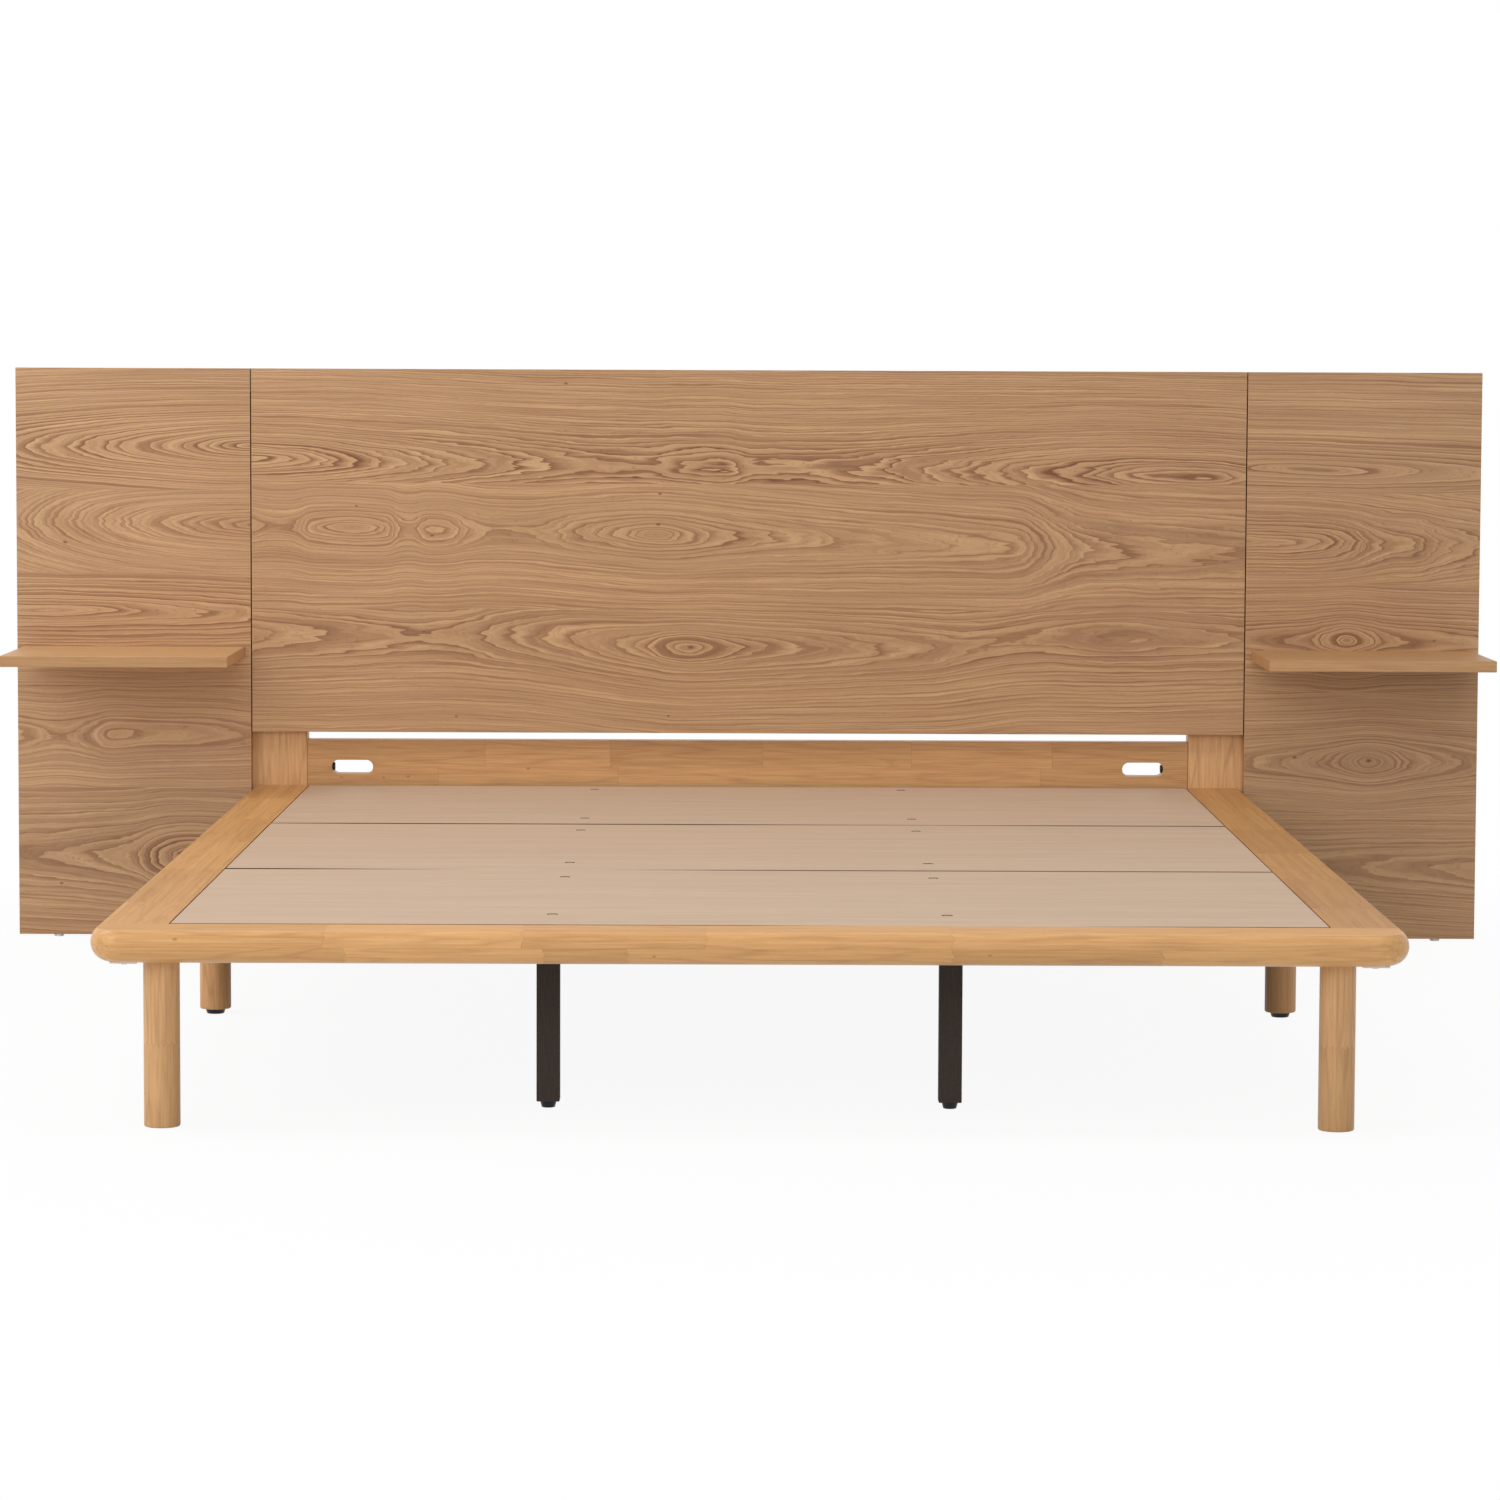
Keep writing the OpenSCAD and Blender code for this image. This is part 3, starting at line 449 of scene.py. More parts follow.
def makeGrowthRings():
    tree, given, gives = newGroup("growthRings", {
        "Along": 0, "Across": 0, "Depth": 0.03, "Ring Gap": 0.005, "Wobble": 1, "Seed": 0},
        ("Line", "Tone", "Radius"))
    shift = times(tree, given["Seed"], ringLook["seedStep"])

    def offset(pitch, detail, roughness):  # noise on both sides of 0
        place = vector(tree, calc(tree, "MULTIPLY_ADD", given["Along"], pitch[0], shift),
                       times(tree, given["Across"], pitch[1]), shift)
        return minus(tree, noise(tree, place, 1.0, detail, roughness), 0.5)

    across = calc(tree, "MULTIPLY_ADD", offset(ringLook["swayPitch"], 1, 0.5), ringLook["sway"],
                  given["Across"])
    radius = calc(tree, "SQRT", plus(
        tree, calc(tree, "POWER", calc(tree, "ABSOLUTE", across), 2.0),
        calc(tree, "POWER", given["Depth"], 2.0)))
    jag = times(tree, offset(ringLook["jagPitch"], 2, 0.55), times(
        tree, given["Wobble"], given["Ring Gap"], ringLook["jag"]))
    radius = plus(tree, radius, jag)
    ring = over(tree, radius, given["Ring Gap"])
    unevenness = addNode(tree, "TexNoise", {
        "W": plus(tree, ring, shift), "Scale": ringLook["unevenPitch"], "Detail": 1},
        noise_dimensions="1D").outputs["Fac"]
    ring = plus(tree, ring, times(tree, unevenness, ringLook["uneven"]))
    line = greyRamp(tree, calc(tree, "FRACT", ring), ringLook["shade"])
    tone = addNode(tree, "TexWhiteNoise", {"W": plus(tree, calc(tree, "FLOOR", ring), shift)},
                   noise_dimensions="1D").outputs["Value"]  # one number for each ring
    feed(tree, gives["Radius"], radius)
    feed(tree, gives["Line"], times(
        tree, line, between(tree, tone, 0, 1, ringLook["faintest"], 1)))
    feed(tree, gives["Tone"], tone)
    return tree


knotLook = {"drawnOut": 0.55, "core": 0.25}  # 1 for a round knot, and the share that is dark


def makePinKnot():  # 1 in the middle of a knot, fading to 0
    tree, given, gives = newGroup("pinKnot", {
        "Along": 0, "Across": 0, "Knot Along": 0, "Knot Across": 0, "Size": 0.004}, ("Knot",))
    away = vector(tree, times(tree, minus(tree, given["Along"], given["Knot Along"]),
                              knotLook["drawnOut"]),
                  minus(tree, given["Across"], given["Knot Across"]), 0.0)
    feed(tree, gives["Knot"], between(tree, over(tree, lengthOf(tree, away), given["Size"]),
                                      knotLook["core"], 1.0, 1.0, 0.0))
    return tree


def makeFingerCut():  # zigzags the ends of the lengths that a strip is glued from
    tree, given, gives = newGroup("fingerCut", {
        "Along": 0, "Across": 0, "Finger Length": 0.009, "Finger Width": 0.0065}, ("Cut",))
    tooth = zigzag(tree, over(tree, given["Across"], given["Finger Width"]))
    feed(tree, gives["Cut"], calc(tree, "MULTIPLY_ADD", tooth, given["Finger Length"],
                                  given["Along"]))
    return tree


woodFibre = makeWoodFibre()
growthRings = makeGrowthRings()
pinKnot = makePinKnot()
fingerCut = makeFingerCut()
print("node groups")


def knotsOn(tree, knots, along, across):  # each knot is its two places and its size, in mm
    deepest = 0.0
    for knotAlong, knotAcross, size in knots:
        spot = useGroup(tree, pinKnot, along=along, across=across, knotAlong=knotAlong * mm,
                        knotAcross=knotAcross * mm, size=size * mm)
        deepest = calc(tree, "MAXIMUM", deepest, spot["Knot"])
    return deepest


# Veneer of the headboard: leaves laid one above another, each with its own heart line. Places are
# in millimetres: depth of the log's heart and height of the heart line, along the panel

veneer = {
    "pale": paint(212, 171, 127),
    "brown": paint(168, 124, 88),
    "line": paint(124, 80, 50),
    "edge": paint(168, 124, 84),
    "knot": paint(112, 70, 46),
    "roughness": 0.52,
    "streakLength": 0.28,
    "depthRange": 0.1,           # the deepest heart that a curve can hold, in metres
    "tilt": 0.05,                # how fast the fibre changes from row to row
    "ringFade": (20 * mm, 75 * mm, 1.0, 0.55),  # full by the heart line, and fainter far from it
    "paleWood": (0.25, 0.30),    # between the rings: up to this much line, and how much paler
    "pores": 0.30,
    "knotShade": 0.85,
    "bandSpread": 0.045,
    "ringSpread": 0.03,
    "streakPolish": 0.06,        # how much smoother a pale streak is
    "streakRelief": 0.4,         # and how far it and a ring stand up against a pore
    "ringRelief": 0.4,
    "relief": (0.08 * mm, 0.6),
    "centre": {
        # painted light: the centre panel is made lighter at its left end and darker at its right, as
        # the light falls off
        "fade": (1.015, 0.965),
        "knots": ((-305, 929, 2.5), (-654, 724, 2), (-528, 675, 2.5), (-148, 746, 2.5),
                  (-151, 695, 3), (-542, 515, 2), (-96, 490, 4), (-133, 375, 2), (-488, 373, 2)),
        "leaves": (
            {"top": 960, "gap": 3.8, "wobble": 0.9, "contrast": 1.2, "tone": 1.0,
             "heart": ((-830, 800), (0, 790), (835, 777)),
             "depth": ((-830, 6), (-365, 52), (-180, 58), (-110, 54), (-50, 52), (20, 57), (120, 56),
                       (420, 35), (570, 22), (740, 8), (835, 16))},
            {"top": 763, "gap": 5.5, "wobble": 0.6, "contrast": 0.7, "tone": 0.98,
             "heart": ((-830, 692), (0, 674), (835, 650)),
             "depth": ((-830, 25), (-785, 30), (-730, 14), (-660, 0), (-600, 14), (-565, 30),
                       (-530, 22), (-465, 35), (-415, 40), (-280, 27), (-215, 16), (-155, 0),
                       (-95, 16), (-40, 26), (60, 34), (220, 42), (335, 47), (435, 51), (480, 62),
                       (520, 76), (585, 86), (835, 92))},
            {"top": 553, "gap": 6.0, "wobble": 0.5, "contrast": 0.85, "tone": 0.99,
             "heart": ((-830, 508), (-405, 508), (-100, 489), (295, 489), (520, 508), (835, 508)),
             "depth": ((-830, 48), (-605, 60), (-550, 62), (-405, 50), (-315, 40), (-230, 30),
                       (-165, 20), (-140, 12), (-100, 0), (-60, 12), (-15, 20), (110, 30),
                       (295, 42), (420, 50), (520, 47), (620, 43), (735, 47), (835, 50))},
        ),
    },
    "left": {
        "fade": (1.0, 1.0),
        "knots": ((-1140, 662, 3), (-1150, 90, 2.5)),
        "leaves": (
            {"top": 960, "gap": 3.7, "wobble": 0.5, "contrast": 1.1, "tone": 1.0,
             "heart": ((-1221, 822), (-830, 822)),
             "depth": ((-1215, 50), (-1035, 30), (-935, 18), (-860, 5), (-830, 0))},
            {"top": 750, "gap": 3.7, "wobble": 0.7, "contrast": 0.6, "tone": 0.98,
             "heart": ((-1221, 697), (-830, 690)),
             "depth": ((-1215, 74), (-1060, 40), (-915, 16), (-830, 4))},
            {"top": 612, "gap": 6.5, "wobble": 0.5, "contrast": 0.9, "tone": 1.01,
             "heart": ((-1221, 548), (-830, 545)),
             "depth": ((-1215, 3), (-1165, 0), (-1020, 13), (-865, 22), (-830, 25))},
            {"top": 419, "gap": 5.5, "wobble": 0.5, "contrast": 0.55, "tone": 0.99,
             "heart": ((-1221, 340), (-830, 340)),
             "depth": ((-1215, 34), (-1150, 40), (-1100, 34), (-1060, 26), (-985, 29), (-900, 31),
                       (-830, 36))},
            {"top": 251, "gap": 8.5, "wobble": 0.4, "contrast": 1.1, "tone": 0.98,
             "heart": ((-1221, 138), (-830, 130)),
             "depth": ((-1215, 60), (-1104, 54), (-1026, 45), (-1004, 36), (-986, 27), (-960, 15),
                       (-920, 0), (-835, 20))},
        ),
    },
    "right": {
        "fade": (1.0, 1.0),
        "knots": ((1040, 304, 4), (916, 309, 3), (1147, 505, 2)),
        "leaves": (
            {"top": 960, "gap": 7.0, "wobble": 0.35, "contrast": 0.9, "tone": 0.94,
             "heart": ((830, 792), (1221, 786)),
             "depth": ((830, 9), (890, 4), (934, 0), (975, 3), (1013, 7), (1102, 14), (1221, 22))},
            {"top": 750, "gap": 4.4, "wobble": 0.8, "contrast": 0.8, "tone": 0.94,
             "heart": ((830, 669), (1221, 665)),
             "depth": ((830, 6), (940, 12), (990, 22), (1063, 42), (1120, 47), (1155, 54),
                       (1221, 62))},
            {"top": 600, "gap": 5.5, "wobble": 0.5, "contrast": 0.9, "tone": 0.94,
             "heart": ((830, 504), (1221, 504)),
             "depth": ((830, 32), (880, 29), (941, 24), (959, 18), (975, 13), (1001, 0),
                       (1027, 13), (1043, 18), (1061, 24), (1120, 29), (1221, 34))},
            {"top": 419, "gap": 5.0, "wobble": 0.5, "contrast": 0.55, "tone": 0.95,
             "heart": ((830, 300), (1221, 300)),
             "depth": ((830, 36), (960, 24), (1010, 12), (1038, 0), (1070, 12), (1110, 24),
                       (1221, 38))},
            {"top": 215, "gap": 5.5, "wobble": 0.4, "contrast": 0.6, "tone": 0.97,
             "heart": ((830, 130), (1221, 120)),
             "depth": ((830, 62), (1221, 50))},
        ),
    },
}

square = 0.7  # a face looks along an axis when this part of its direction or more is on it


def makeVeneer(part, low, high):
    look = {**veneer, **veneer[part]}
    made, tree, sockets = newMaterial("veneer_" + part, IOR=1.45)
    (x, y, z), facing = placeOn(tree)
    share = between(tree, x, low.x, high.x)
    leaves = look["leaves"]

    def fromLeaf(blendIn):  # a value of the leaf that lies at this height
        value = blendIn(leaves[0])
        for leaf in leaves[1:]:
            value = choose(tree, below(tree, z, leaf["top"] * mm), value, blendIn(leaf))
        return value

    def along(points, scale):
        places = [(min(max((at * mm - low.x) / (high.x - low.x), 0), 1), value * mm / scale)
                  for at, value in points]
        return times(tree, curve(tree, share, places), scale)

    heart = fromLeaf(lambda leaf: along(leaf["heart"], 1.0))
    depth = fromLeaf(lambda leaf: along(leaf["depth"], look["depthRange"]))
    gap = fromLeaf(lambda leaf: leaf["gap"] * mm)
    wobble, contrast, tone = (fromLeaf(lambda leaf: leaf[kind])
                              for kind in ("wobble", "contrast", "tone"))
    seed = fromLeaf(lambda leaf: leaves.index(leaf) + 1 + 5 * len(part))
    across = minus(tree, z, heart)
    rings = useGroup(tree, growthRings, along=x, across=across, depth=depth, ringGap=gap,
                     wobble=wobble, seed=seed)
    fibre = useGroup(tree, woodFibre, along=x, across=rings["Radius"],
                     deep=times(tree, z, look["tilt"]), streakLength=look["streakLength"],
                     seed=seed)
    nearHeart = between(tree, calc(tree, "ABSOLUTE", across), *look["ringFade"])
    ringMask = times(tree, rings["Line"], nearHeart, contrast)
    lineLimit, paler = look["paleWood"]
    wood = blend(tree, fibre["Streak"], look["brown"], look["pale"])
    wood = blend(tree, times(tree, between(tree, ringMask, 0.0, lineLimit, paler, 0.0), nearHeart),
                 wood, look["pale"])
    wood = blend(tree, ringMask, wood, look["line"])
    wood = blend(tree, times(tree, fibre["Pore"], look["pores"]), wood, look["line"])
    wood = blend(tree, times(tree, knotsOn(tree, look["knots"], x, z), look["knotShade"]),
                 wood, look["knot"])
    edgeFibre = useGroup(tree, woodFibre, along=plus(tree, x, z), across=y, deep=x, seed=3)
    onEdge = below(tree, calc(tree, "ABSOLUTE", facing["Y"]), square)
    wood = blend(tree, onEdge, wood, blend(tree, edgeFibre["Streak"], look["edge"], look["brown"]))
    # the level holds the leaf's tone, slow bands, ring tone and a painted light falloff from the
    # panel's left end to its right
    level = times(tree, tone, aroundOne(tree, fibre["Band"], look["bandSpread"]),
                  aroundOne(tree, rings["Tone"], look["ringSpread"]),
                  between(tree, share, 0, 1, *look["fade"]))
    finishWood(tree, sockets, look, wood, vector(tree, level, level, level), fibre,
               plus(tree, fibre["Pore"], times(tree, ringMask, look["ringRelief"])))
    return made


# Solid wood: straight grain with finger joints where a strip is glued from lengths

solidLook = {  # what every wood has that says nothing else
    "streakLength": 0.09,
    "streakWidth": 0.0026,
    "poreLength": 0.009,
    "figure": 0.25,
    "figureLines": 9.0,
    "figurePitch": (1.6, 22.0),  # in a metre, along and across the grain
    "pores": 0.22,
    "toneSpread": 0.16,
    "bandSpread": 0.03,
    "warmth": (1, 1.15, 1.5),    # a darker length turns a little redder
    "level": 1.0,
    "coat": 0.0,
    "coatRoughness": 0.2,
    "roughness": 0.42,
    "streakPolish": 0.07,
    "streakRelief": 0.5,
    "relief": (0.07 * mm, 0.5),
    "knots": (),
    "knotShade": 0.7,
    "seed": 1.0,
    "strips": (),
    "fingerLength": 0.010,
    "joint": 0.40,               # how dark a finger joint's line is
    "jointLine": 0.35,           # half its width, in mm
    "seam": (0.25 * mm, 0.6),    # half the line between two strips, and its share of that dark
    "seedSteps": (37.0, 5.0),    # from one length to the next, and from one strip to the next
}


def gluedLengths(tree, look, place, run):  # gives their tone, seed and joint lines
    cut = useGroup(tree, fingerCut, along=run, across=place[look["fingersAcross"]],
                   fingerLength=look["fingerLength"])["Cut"]
    start, length = look["span"]
    seedStep, stripStep = look["seedSteps"]
    seamHalf, seamShade = look["seam"]
    for number, (top, lengths) in enumerate(look["strips"]):
        stops = [((at - start) / length, level) for at, level in lengths]
        shades = []
        for shift in (-look["jointLine"], look["jointLine"]):
            ramp = greyRamp(tree, over(tree, minus(tree, cut, start * mm + shift * mm), length * mm),
                            stops, "CONSTANT")
            shades.append(addNode(tree, "RGBToBW", {"Color": ramp}).outputs[0])
        ends = calc(tree, "GREATER_THAN", apart(tree, *shades), 0.004)  # the two shades differ
        if number == 0:
            tone, joint, seed = shades[0], ends, times(tree, shades[0], seedStep)
        else:
            under = below(tree, place["Z"], top * mm)
            tone = choose(tree, under, tone, shades[0])
            joint = choose(tree, under, joint, ends)
            seed = choose(tree, under, seed,
                          calc(tree, "MULTIPLY_ADD", shades[0], seedStep, stripStep))
            seam = below(tree, apart(tree, place["Z"], top * mm), seamHalf)
            joint = calc(tree, "MAXIMUM", joint, times(tree, seam, seamShade))
    return tone, seed, joint


def darkEdgesAndPaintedGapShade(tree, look, place, facing):  # a board's dark edges, with painted shade in the open joints: darkest where a joint is open
    onEdge = below(tree, facing["Z"], look["lookingUp"])
    share = between(tree, place["X"], *look["jointSpan"])
    for jointY, shades in look["joints"].items():
        near = below(tree, apart(tree, place["Y"], jointY), look["jointReach"])
        onEdge = times(tree, onEdge, choose(tree, near, 1.0, greyRamp(tree, share, shades)))
    return onEdge


def solidWood(name, kind, grain, **changes):  # the grain runs along, across and into these axes
    look = {**solidLook, **kind, **changes}
    made, tree, sockets = newMaterial(name, IOR=1.45)
    place, facing = placeOn(tree)
    run, side, deep = (place[axis] for axis in grain)
    tone, seed, joint = 0.5, look["seed"], 0.0
    if look["strips"]:
        tone, seed, joint = gluedLengths(tree, look, place, run)
    fibre = useGroup(tree, woodFibre, along=run, across=side, deep=deep, seed=seed,
                     streakLength=look["streakLength"], streakWidth=look["streakWidth"],
                     poreLength=look["poreLength"])
    pitchAlong, pitchAcross = look["figurePitch"]
    figureAt = vector(tree, times(tree, run, pitchAlong), times(tree, side, pitchAcross),
                      times(tree, deep, pitchAcross))
    figureAt = addNode(tree, "VectorMath", {0: figureAt, 1: vector(tree, seed, seed, seed)},
                       operation="ADD").outputs[0]
    swirl = noise(tree, figureAt, detail=2.5, roughness=0.55)
    lines = zigzag(tree, times(tree, swirl, look["figureLines"]))
    lines = between(tree, lines, 0.30, 0.5)  # only the crests of the zigzag are lines
    wood = blend(tree, fibre["Streak"], look["brown"], look["pale"])
    marks = [(lines, look["figure"]), (fibre["Pore"], look["pores"]), (joint, look["joint"])]
    if look["knots"]:
        marks.append((knotsOn(tree, look["knots"], run, side), look["knotShade"]))
    for mask, shade in marks:
        wood = blend(tree, times(tree, mask, shade), wood, look["line"])
    # the edge colour is the boards' own dark edges and painted shade in their open joints
    if "edge" in look:
        onEdge = darkEdgesAndPaintedGapShade(tree, look, place, facing)
        wood = blend(tree, onEdge, wood, look["edge"])
        feed(tree, sockets["Specular IOR Level"], between(tree, onEdge, 0, 1, 0.5, 0))
    bands = look["bandSpread"]
    level = plus(tree, aroundOne(tree, tone, look["toneSpread"]),
                 between(tree, fibre["Band"], 0, 1, -bands, bands))
    level = times(tree, level, look["level"])
    if "frontLevel" in look:  # painted light and shade: faces turned to the front are made lighter or darker than the rest
        paintedFrontFaces = below(tree, facing["Y"], -square)
        level = times(tree, level, between(tree, paintedFrontFaces, 0, 1, 1, look["frontLevel"]))
    warm = vector(tree, *(calc(tree, "POWER", level, power) for power in look["warmth"]))
    sockets["Coat Weight"].default_value = look["coat"]
    sockets["Coat Roughness"].default_value = look["coatRoughness"]
    finishWood(tree, sockets, look, wood, warm, fibre, fibre["Pore"])
    return made


# The woods. Strips are glued from lengths: the strip's top, then where each length starts and
# how light it is, in millimetres and from 0 to 1

frameWood = {
    "pale": paint(226, 173, 109),
    "brown": paint(206, 151, 91),
    "line": paint(156, 98, 54),
    "coat": 0.25,
    "span": (-840, 1680),
    "fingersAcross": "Y",
    "knots": ((-719, 245, 2.5), (-120, 225, 2), (300, 228, 2)),
    "strips": (
        (260, ((-840, 0.40), (-534, 0.78), (-283, 0.45), (-54, 0.60), (254, 0.66))),
        (235, ((-840, 0.42), (-509, 0.80), (-257, 0.30), (-155, 0.58), (254, 0.20), (514, 0.72)))),
}
rearWood = {
    **frameWood,
    "pale": paint(214, 165, 110),
    "brown": paint(193, 143, 93),
    "knots": ((-570, 270, 2.5), (-682, 268, 2), (-611, 268, 2), (-368, 284, 2.5)),
    "strips": (
        (340, ((-840, 0.45), (-440, 0.52), (-233, 0.22), (23, 0.42), (273, 0.55), (509, 0.38))),
        (287, ((-840, 0.40), (-520, 0.48), (-220, 0.58), (489, 0.36)))),
}
sideWood = {
    "pale": paint(211, 160, 99),
    "brown": paint(190, 136, 79),
    "line": paint(146, 92, 50),
    "coat": 0.25,
    "span": (-1110, 2200),
    "fingersAcross": "X",
    "streakLength": 0.7,
    "streakWidth": 0.006,
    "poreLength": 0.08,
    "toneSpread": 0.24,
}
leftStrips = ((0, ((-1110, 0.55), (-760, 0.42), (-330, 0.62), (60, 0.44), (420, 0.58),
                   (790, 0.50))),)
rightStrips = ((0, ((-1110, 0.55), (-790, 0.40), (-420, 0.56), (-60, 0.34), (310, 0.50),
                    (690, 0.42))),)
shelfWood = {
    "pale": paint(197, 153, 105),
    "brown": paint(180, 135, 91),
    "line": paint(150, 104, 66),
    "streakLength": 0.12,
    "streakWidth": 0.003,
    "figure": 0.15,
    "seed": 4.0,
}
legWood = {
    "pale": paint(223, 175, 121),
    "brown": paint(200, 152, 102),
    "line": paint(150, 100, 62),
    "streakLength": 0.06,
    "streakWidth": 0.0024,
    "figure": 0.3,
    "span": (0, 260),
    "fingersAcross": "X",
    "fingerLength": 0.012,
    "toneSpread": 0.12,
}
paleWood = {
    "pale": paint(222, 192, 150),
    "brown": paint(205, 172, 128),
    "line": paint(166, 126, 84),
    "roughness": 0.6,
    "figure": 0.3,
    "seed": 2.0,
}
boardLow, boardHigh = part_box("board_front")
boardWood = {
    "pale": paint(202, 176, 150),
    "brown": paint(188, 160, 134),
    "line": paint(166, 136, 110),
    "streakLength": 0.25,
    "streakWidth": 0.004,
    "figure": 0.12,
    "level": 1.04,
    "roughness": 0.5,
    "seed": 6.0,
    # dark board edges, which also stand in for the shade in the gaps between boards
    "edge": paint(44, 26, 15),
    "lookingUp": 0.985,          # faces turned up less than this are edges and rims
    "jointSpan": (boardLow.x, boardHigh.x),
    "jointReach": 10 * mm,
    "joints": {                  # how much painted shade each open joint gets, from its left end, 0, to its right, 1
        boardLow.y: ((0, 1), (0.5, 1), (0.54, 0.5), (0.6, 0), (0.77, 0), (0.85, 0.85), (0.9, 1)),
        boardHigh.y: ((0.05, 1), (0.14, 0.5), (0.25, 0), (0.36, 0.05), (0.48, 0.65), (0.54, 0.75)),
        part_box("board_middle")[1].y: (
            (0, 0.7), (0.08, 1), (0.45, 1), (0.64, 0.5), (0.7, 0.5), (0.83, 0.9)),
    },
}

# Black timber of the centre legs: stained, with the marks of the saw across it

blackTimber = {
    "stain": paint(44, 34, 28),
    "worn": paint(68, 56, 47),
    "streak": (0.03, 0.0012),    # length and width
    "sawPitch": 2.6 * mm,
    "sawSway": 2.5,              # how far its marks wander, in pitches
    "swaySize": 60,              # wanderings in a metre
    "share": 0.62,               # of streaks and saw marks in the roughness of the face
    "roughness": (0.62, 0.8),
    "relief": (0.25 * mm, 0.8),
}


def makeBlackTimber():
    made, tree, sockets = newMaterial("blackTimber", IOR=1.45)
    x, y, z = placeOn(tree)[0]
    streakLength, streakWidth = blackTimber["streak"]
    fibre = useGroup(tree, woodFibre, along=z, across=x, deep=y, streakLength=streakLength,
                     streakWidth=streakWidth, seed=9.0)
    sway = noise(tree, vector(tree, x, y, times(tree, z, 0.4)), blackTimber["swaySize"])
    saw = zigzag(tree, plus(tree, over(tree, z, blackTimber["sawPitch"]),
                            times(tree, sway, blackTimber["sawSway"])))
    rough = times(tree, plus(tree, fibre["Streak"], saw), blackTimber["share"])
    feed(tree, sockets["Base Color"], blend(
        tree, between(tree, rough, 0.2, 0.8), blackTimber["stain"], blackTimber["worn"]))
    feed(tree, sockets["Roughness"], between(tree, rough, 0, 1, *blackTimber["roughness"]))
    bump(tree, sockets, rough, *blackTimber["relief"])
    return made


def speckled(name, colour, other, roughness, grainSize, relief, **plain):  # plastic and metals
    made, tree, sockets = newMaterial(name, **plain)
    place = addNode(tree, "TexCoord").outputs["Object"]
    grain = noise(tree, place, 1 / grainSize, detail=3, roughness=0.6)
    patches = noise(tree, place, 0.12 / grainSize, detail=2)
    feed(tree, sockets["Base Color"],
         blend(tree, between(tree, patches, 0.35, 0.65), colour, other))
    feed(tree, sockets["Roughness"],
         between(tree, grain, 0.3, 0.7, roughness - 0.05, roughness + 0.05))
    bump(tree, sockets, grain, relief, 0.5)
    return made


materials = {
    "veneerCentre": makeVeneer("centre", *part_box("headboard_panel")),
    "veneerLeft": makeVeneer("left", *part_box("wing_panel_left")),
    "veneerRight": makeVeneer("right", *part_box("wing_panel_right")),
    "frontRail": solidWood("frameWood_front", frameWood, "XZY"),
    "rearRail": solidWood("frameWood_rear", rearWood, "XZY"),
    # painted light and shade: the left side rail is made lighter and the right one darker, as the
    # light falls from the left
    "sideRailLeft": solidWood("frameWood_left", sideWood, "YXZ", strips=leftStrips, level=1.04),
    "sideRailRight": solidWood("frameWood_right", sideWood, "YXZ", strips=rightStrips, level=0.88),
    "legWood": solidWood("legWood", legWood, "ZXY", strips=((0, ((0, 0.42), (109, 0.58))),)),
    # painted shade: the middle legs stand under the platform, so their copy of the leg wood is
    # darker and redder
    "midLegPaintedShade": solidWood("legWood_middle_painted_shade", legWood, "ZXY", pale=paint(220, 168, 113),
                        brown=paint(197, 146, 94), strips=((0, ((0, 0.50), (145, 0.44))),)),
    "post": solidWood("postWood", legWood, "ZXY", pale=paint(233, 186, 132),
                      brown=paint(211, 162, 112)),
    # painted light: the left shelf is made lighter and the right one darker, as the light falls from
    # the left; the left front gets painted shade and the right front painted light
    "shelfLeft": solidWood("shelfWood_left", shelfWood, "XYZ", level=1.15, frontLevel=0.82),
    "shelfRight": solidWood("shelfWood_right", shelfWood, "XYZ", level=0.90, frontLevel=1.16),
    "paleWood": solidWood("paleWood", paleWood, "XYZ"),
    "paleWoodLong": solidWood("paleWoodLong", paleWood, "YXZ"),
    "boards": solidWood("boardWood", boardWood, "XYZ"),
    "blackWood": makeBlackTimber(),
    "blackPlastic": speckled("blackPlastic", paint(12, 11, 11), paint(18, 17, 16), 0.35,
                             0.8 * mm, 0.02 * mm, Specular_IOR_Level=0.3),
    "whiteNylon": speckled("whiteNylon", paint(240, 240, 238), paint(232, 232, 230), 0.4,
                           0.8 * mm, 0.02 * mm, IOR=1.5),
    "zinc": speckled("zincSteel", paint(196, 198, 202), paint(176, 180, 186), 0.32,
                     0.6 * mm, 0.02 * mm, Metallic=1.0),
    "whiteSteel": speckled("whiteSteel", paint(240, 239, 236), paint(233, 231, 228), 0.5,
                           0.6 * mm, 0.03 * mm, IOR=1.5),
    "blackSteel": speckled("blackSteel", paint(46, 38, 34), paint(62, 50, 44), 0.38,
                           0.6 * mm, 0.03 * mm, Metallic=0.6),
    "screwSteel": speckled("screwSteel", paint(208, 182, 154), paint(192, 166, 140), 0.45,
                           0.5 * mm, 0.03 * mm, Metallic=0.2),
    "brass": speckled("brass", paint(214, 178, 96), paint(194, 156, 80), 0.3,
                      0.6 * mm, 0.02 * mm, Metallic=1.0),
}
print("materials:", len(materials))


# Headboard panels: one slab each, with eased edges

headboard = {"edge": 0.6 * mm}
for node, figure in (("headboard_panel", "veneerCentre"), ("wing_panel_left", "veneerLeft"),
                     ("wing_panel_right", "veneerRight")):
    panel = addBlock(node + "_veneered", *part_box(node))
    easeEdges(panel, headboard["edge"], steps=3)
    finishPiece(panel, materials[figure], "veneered_panel", node)

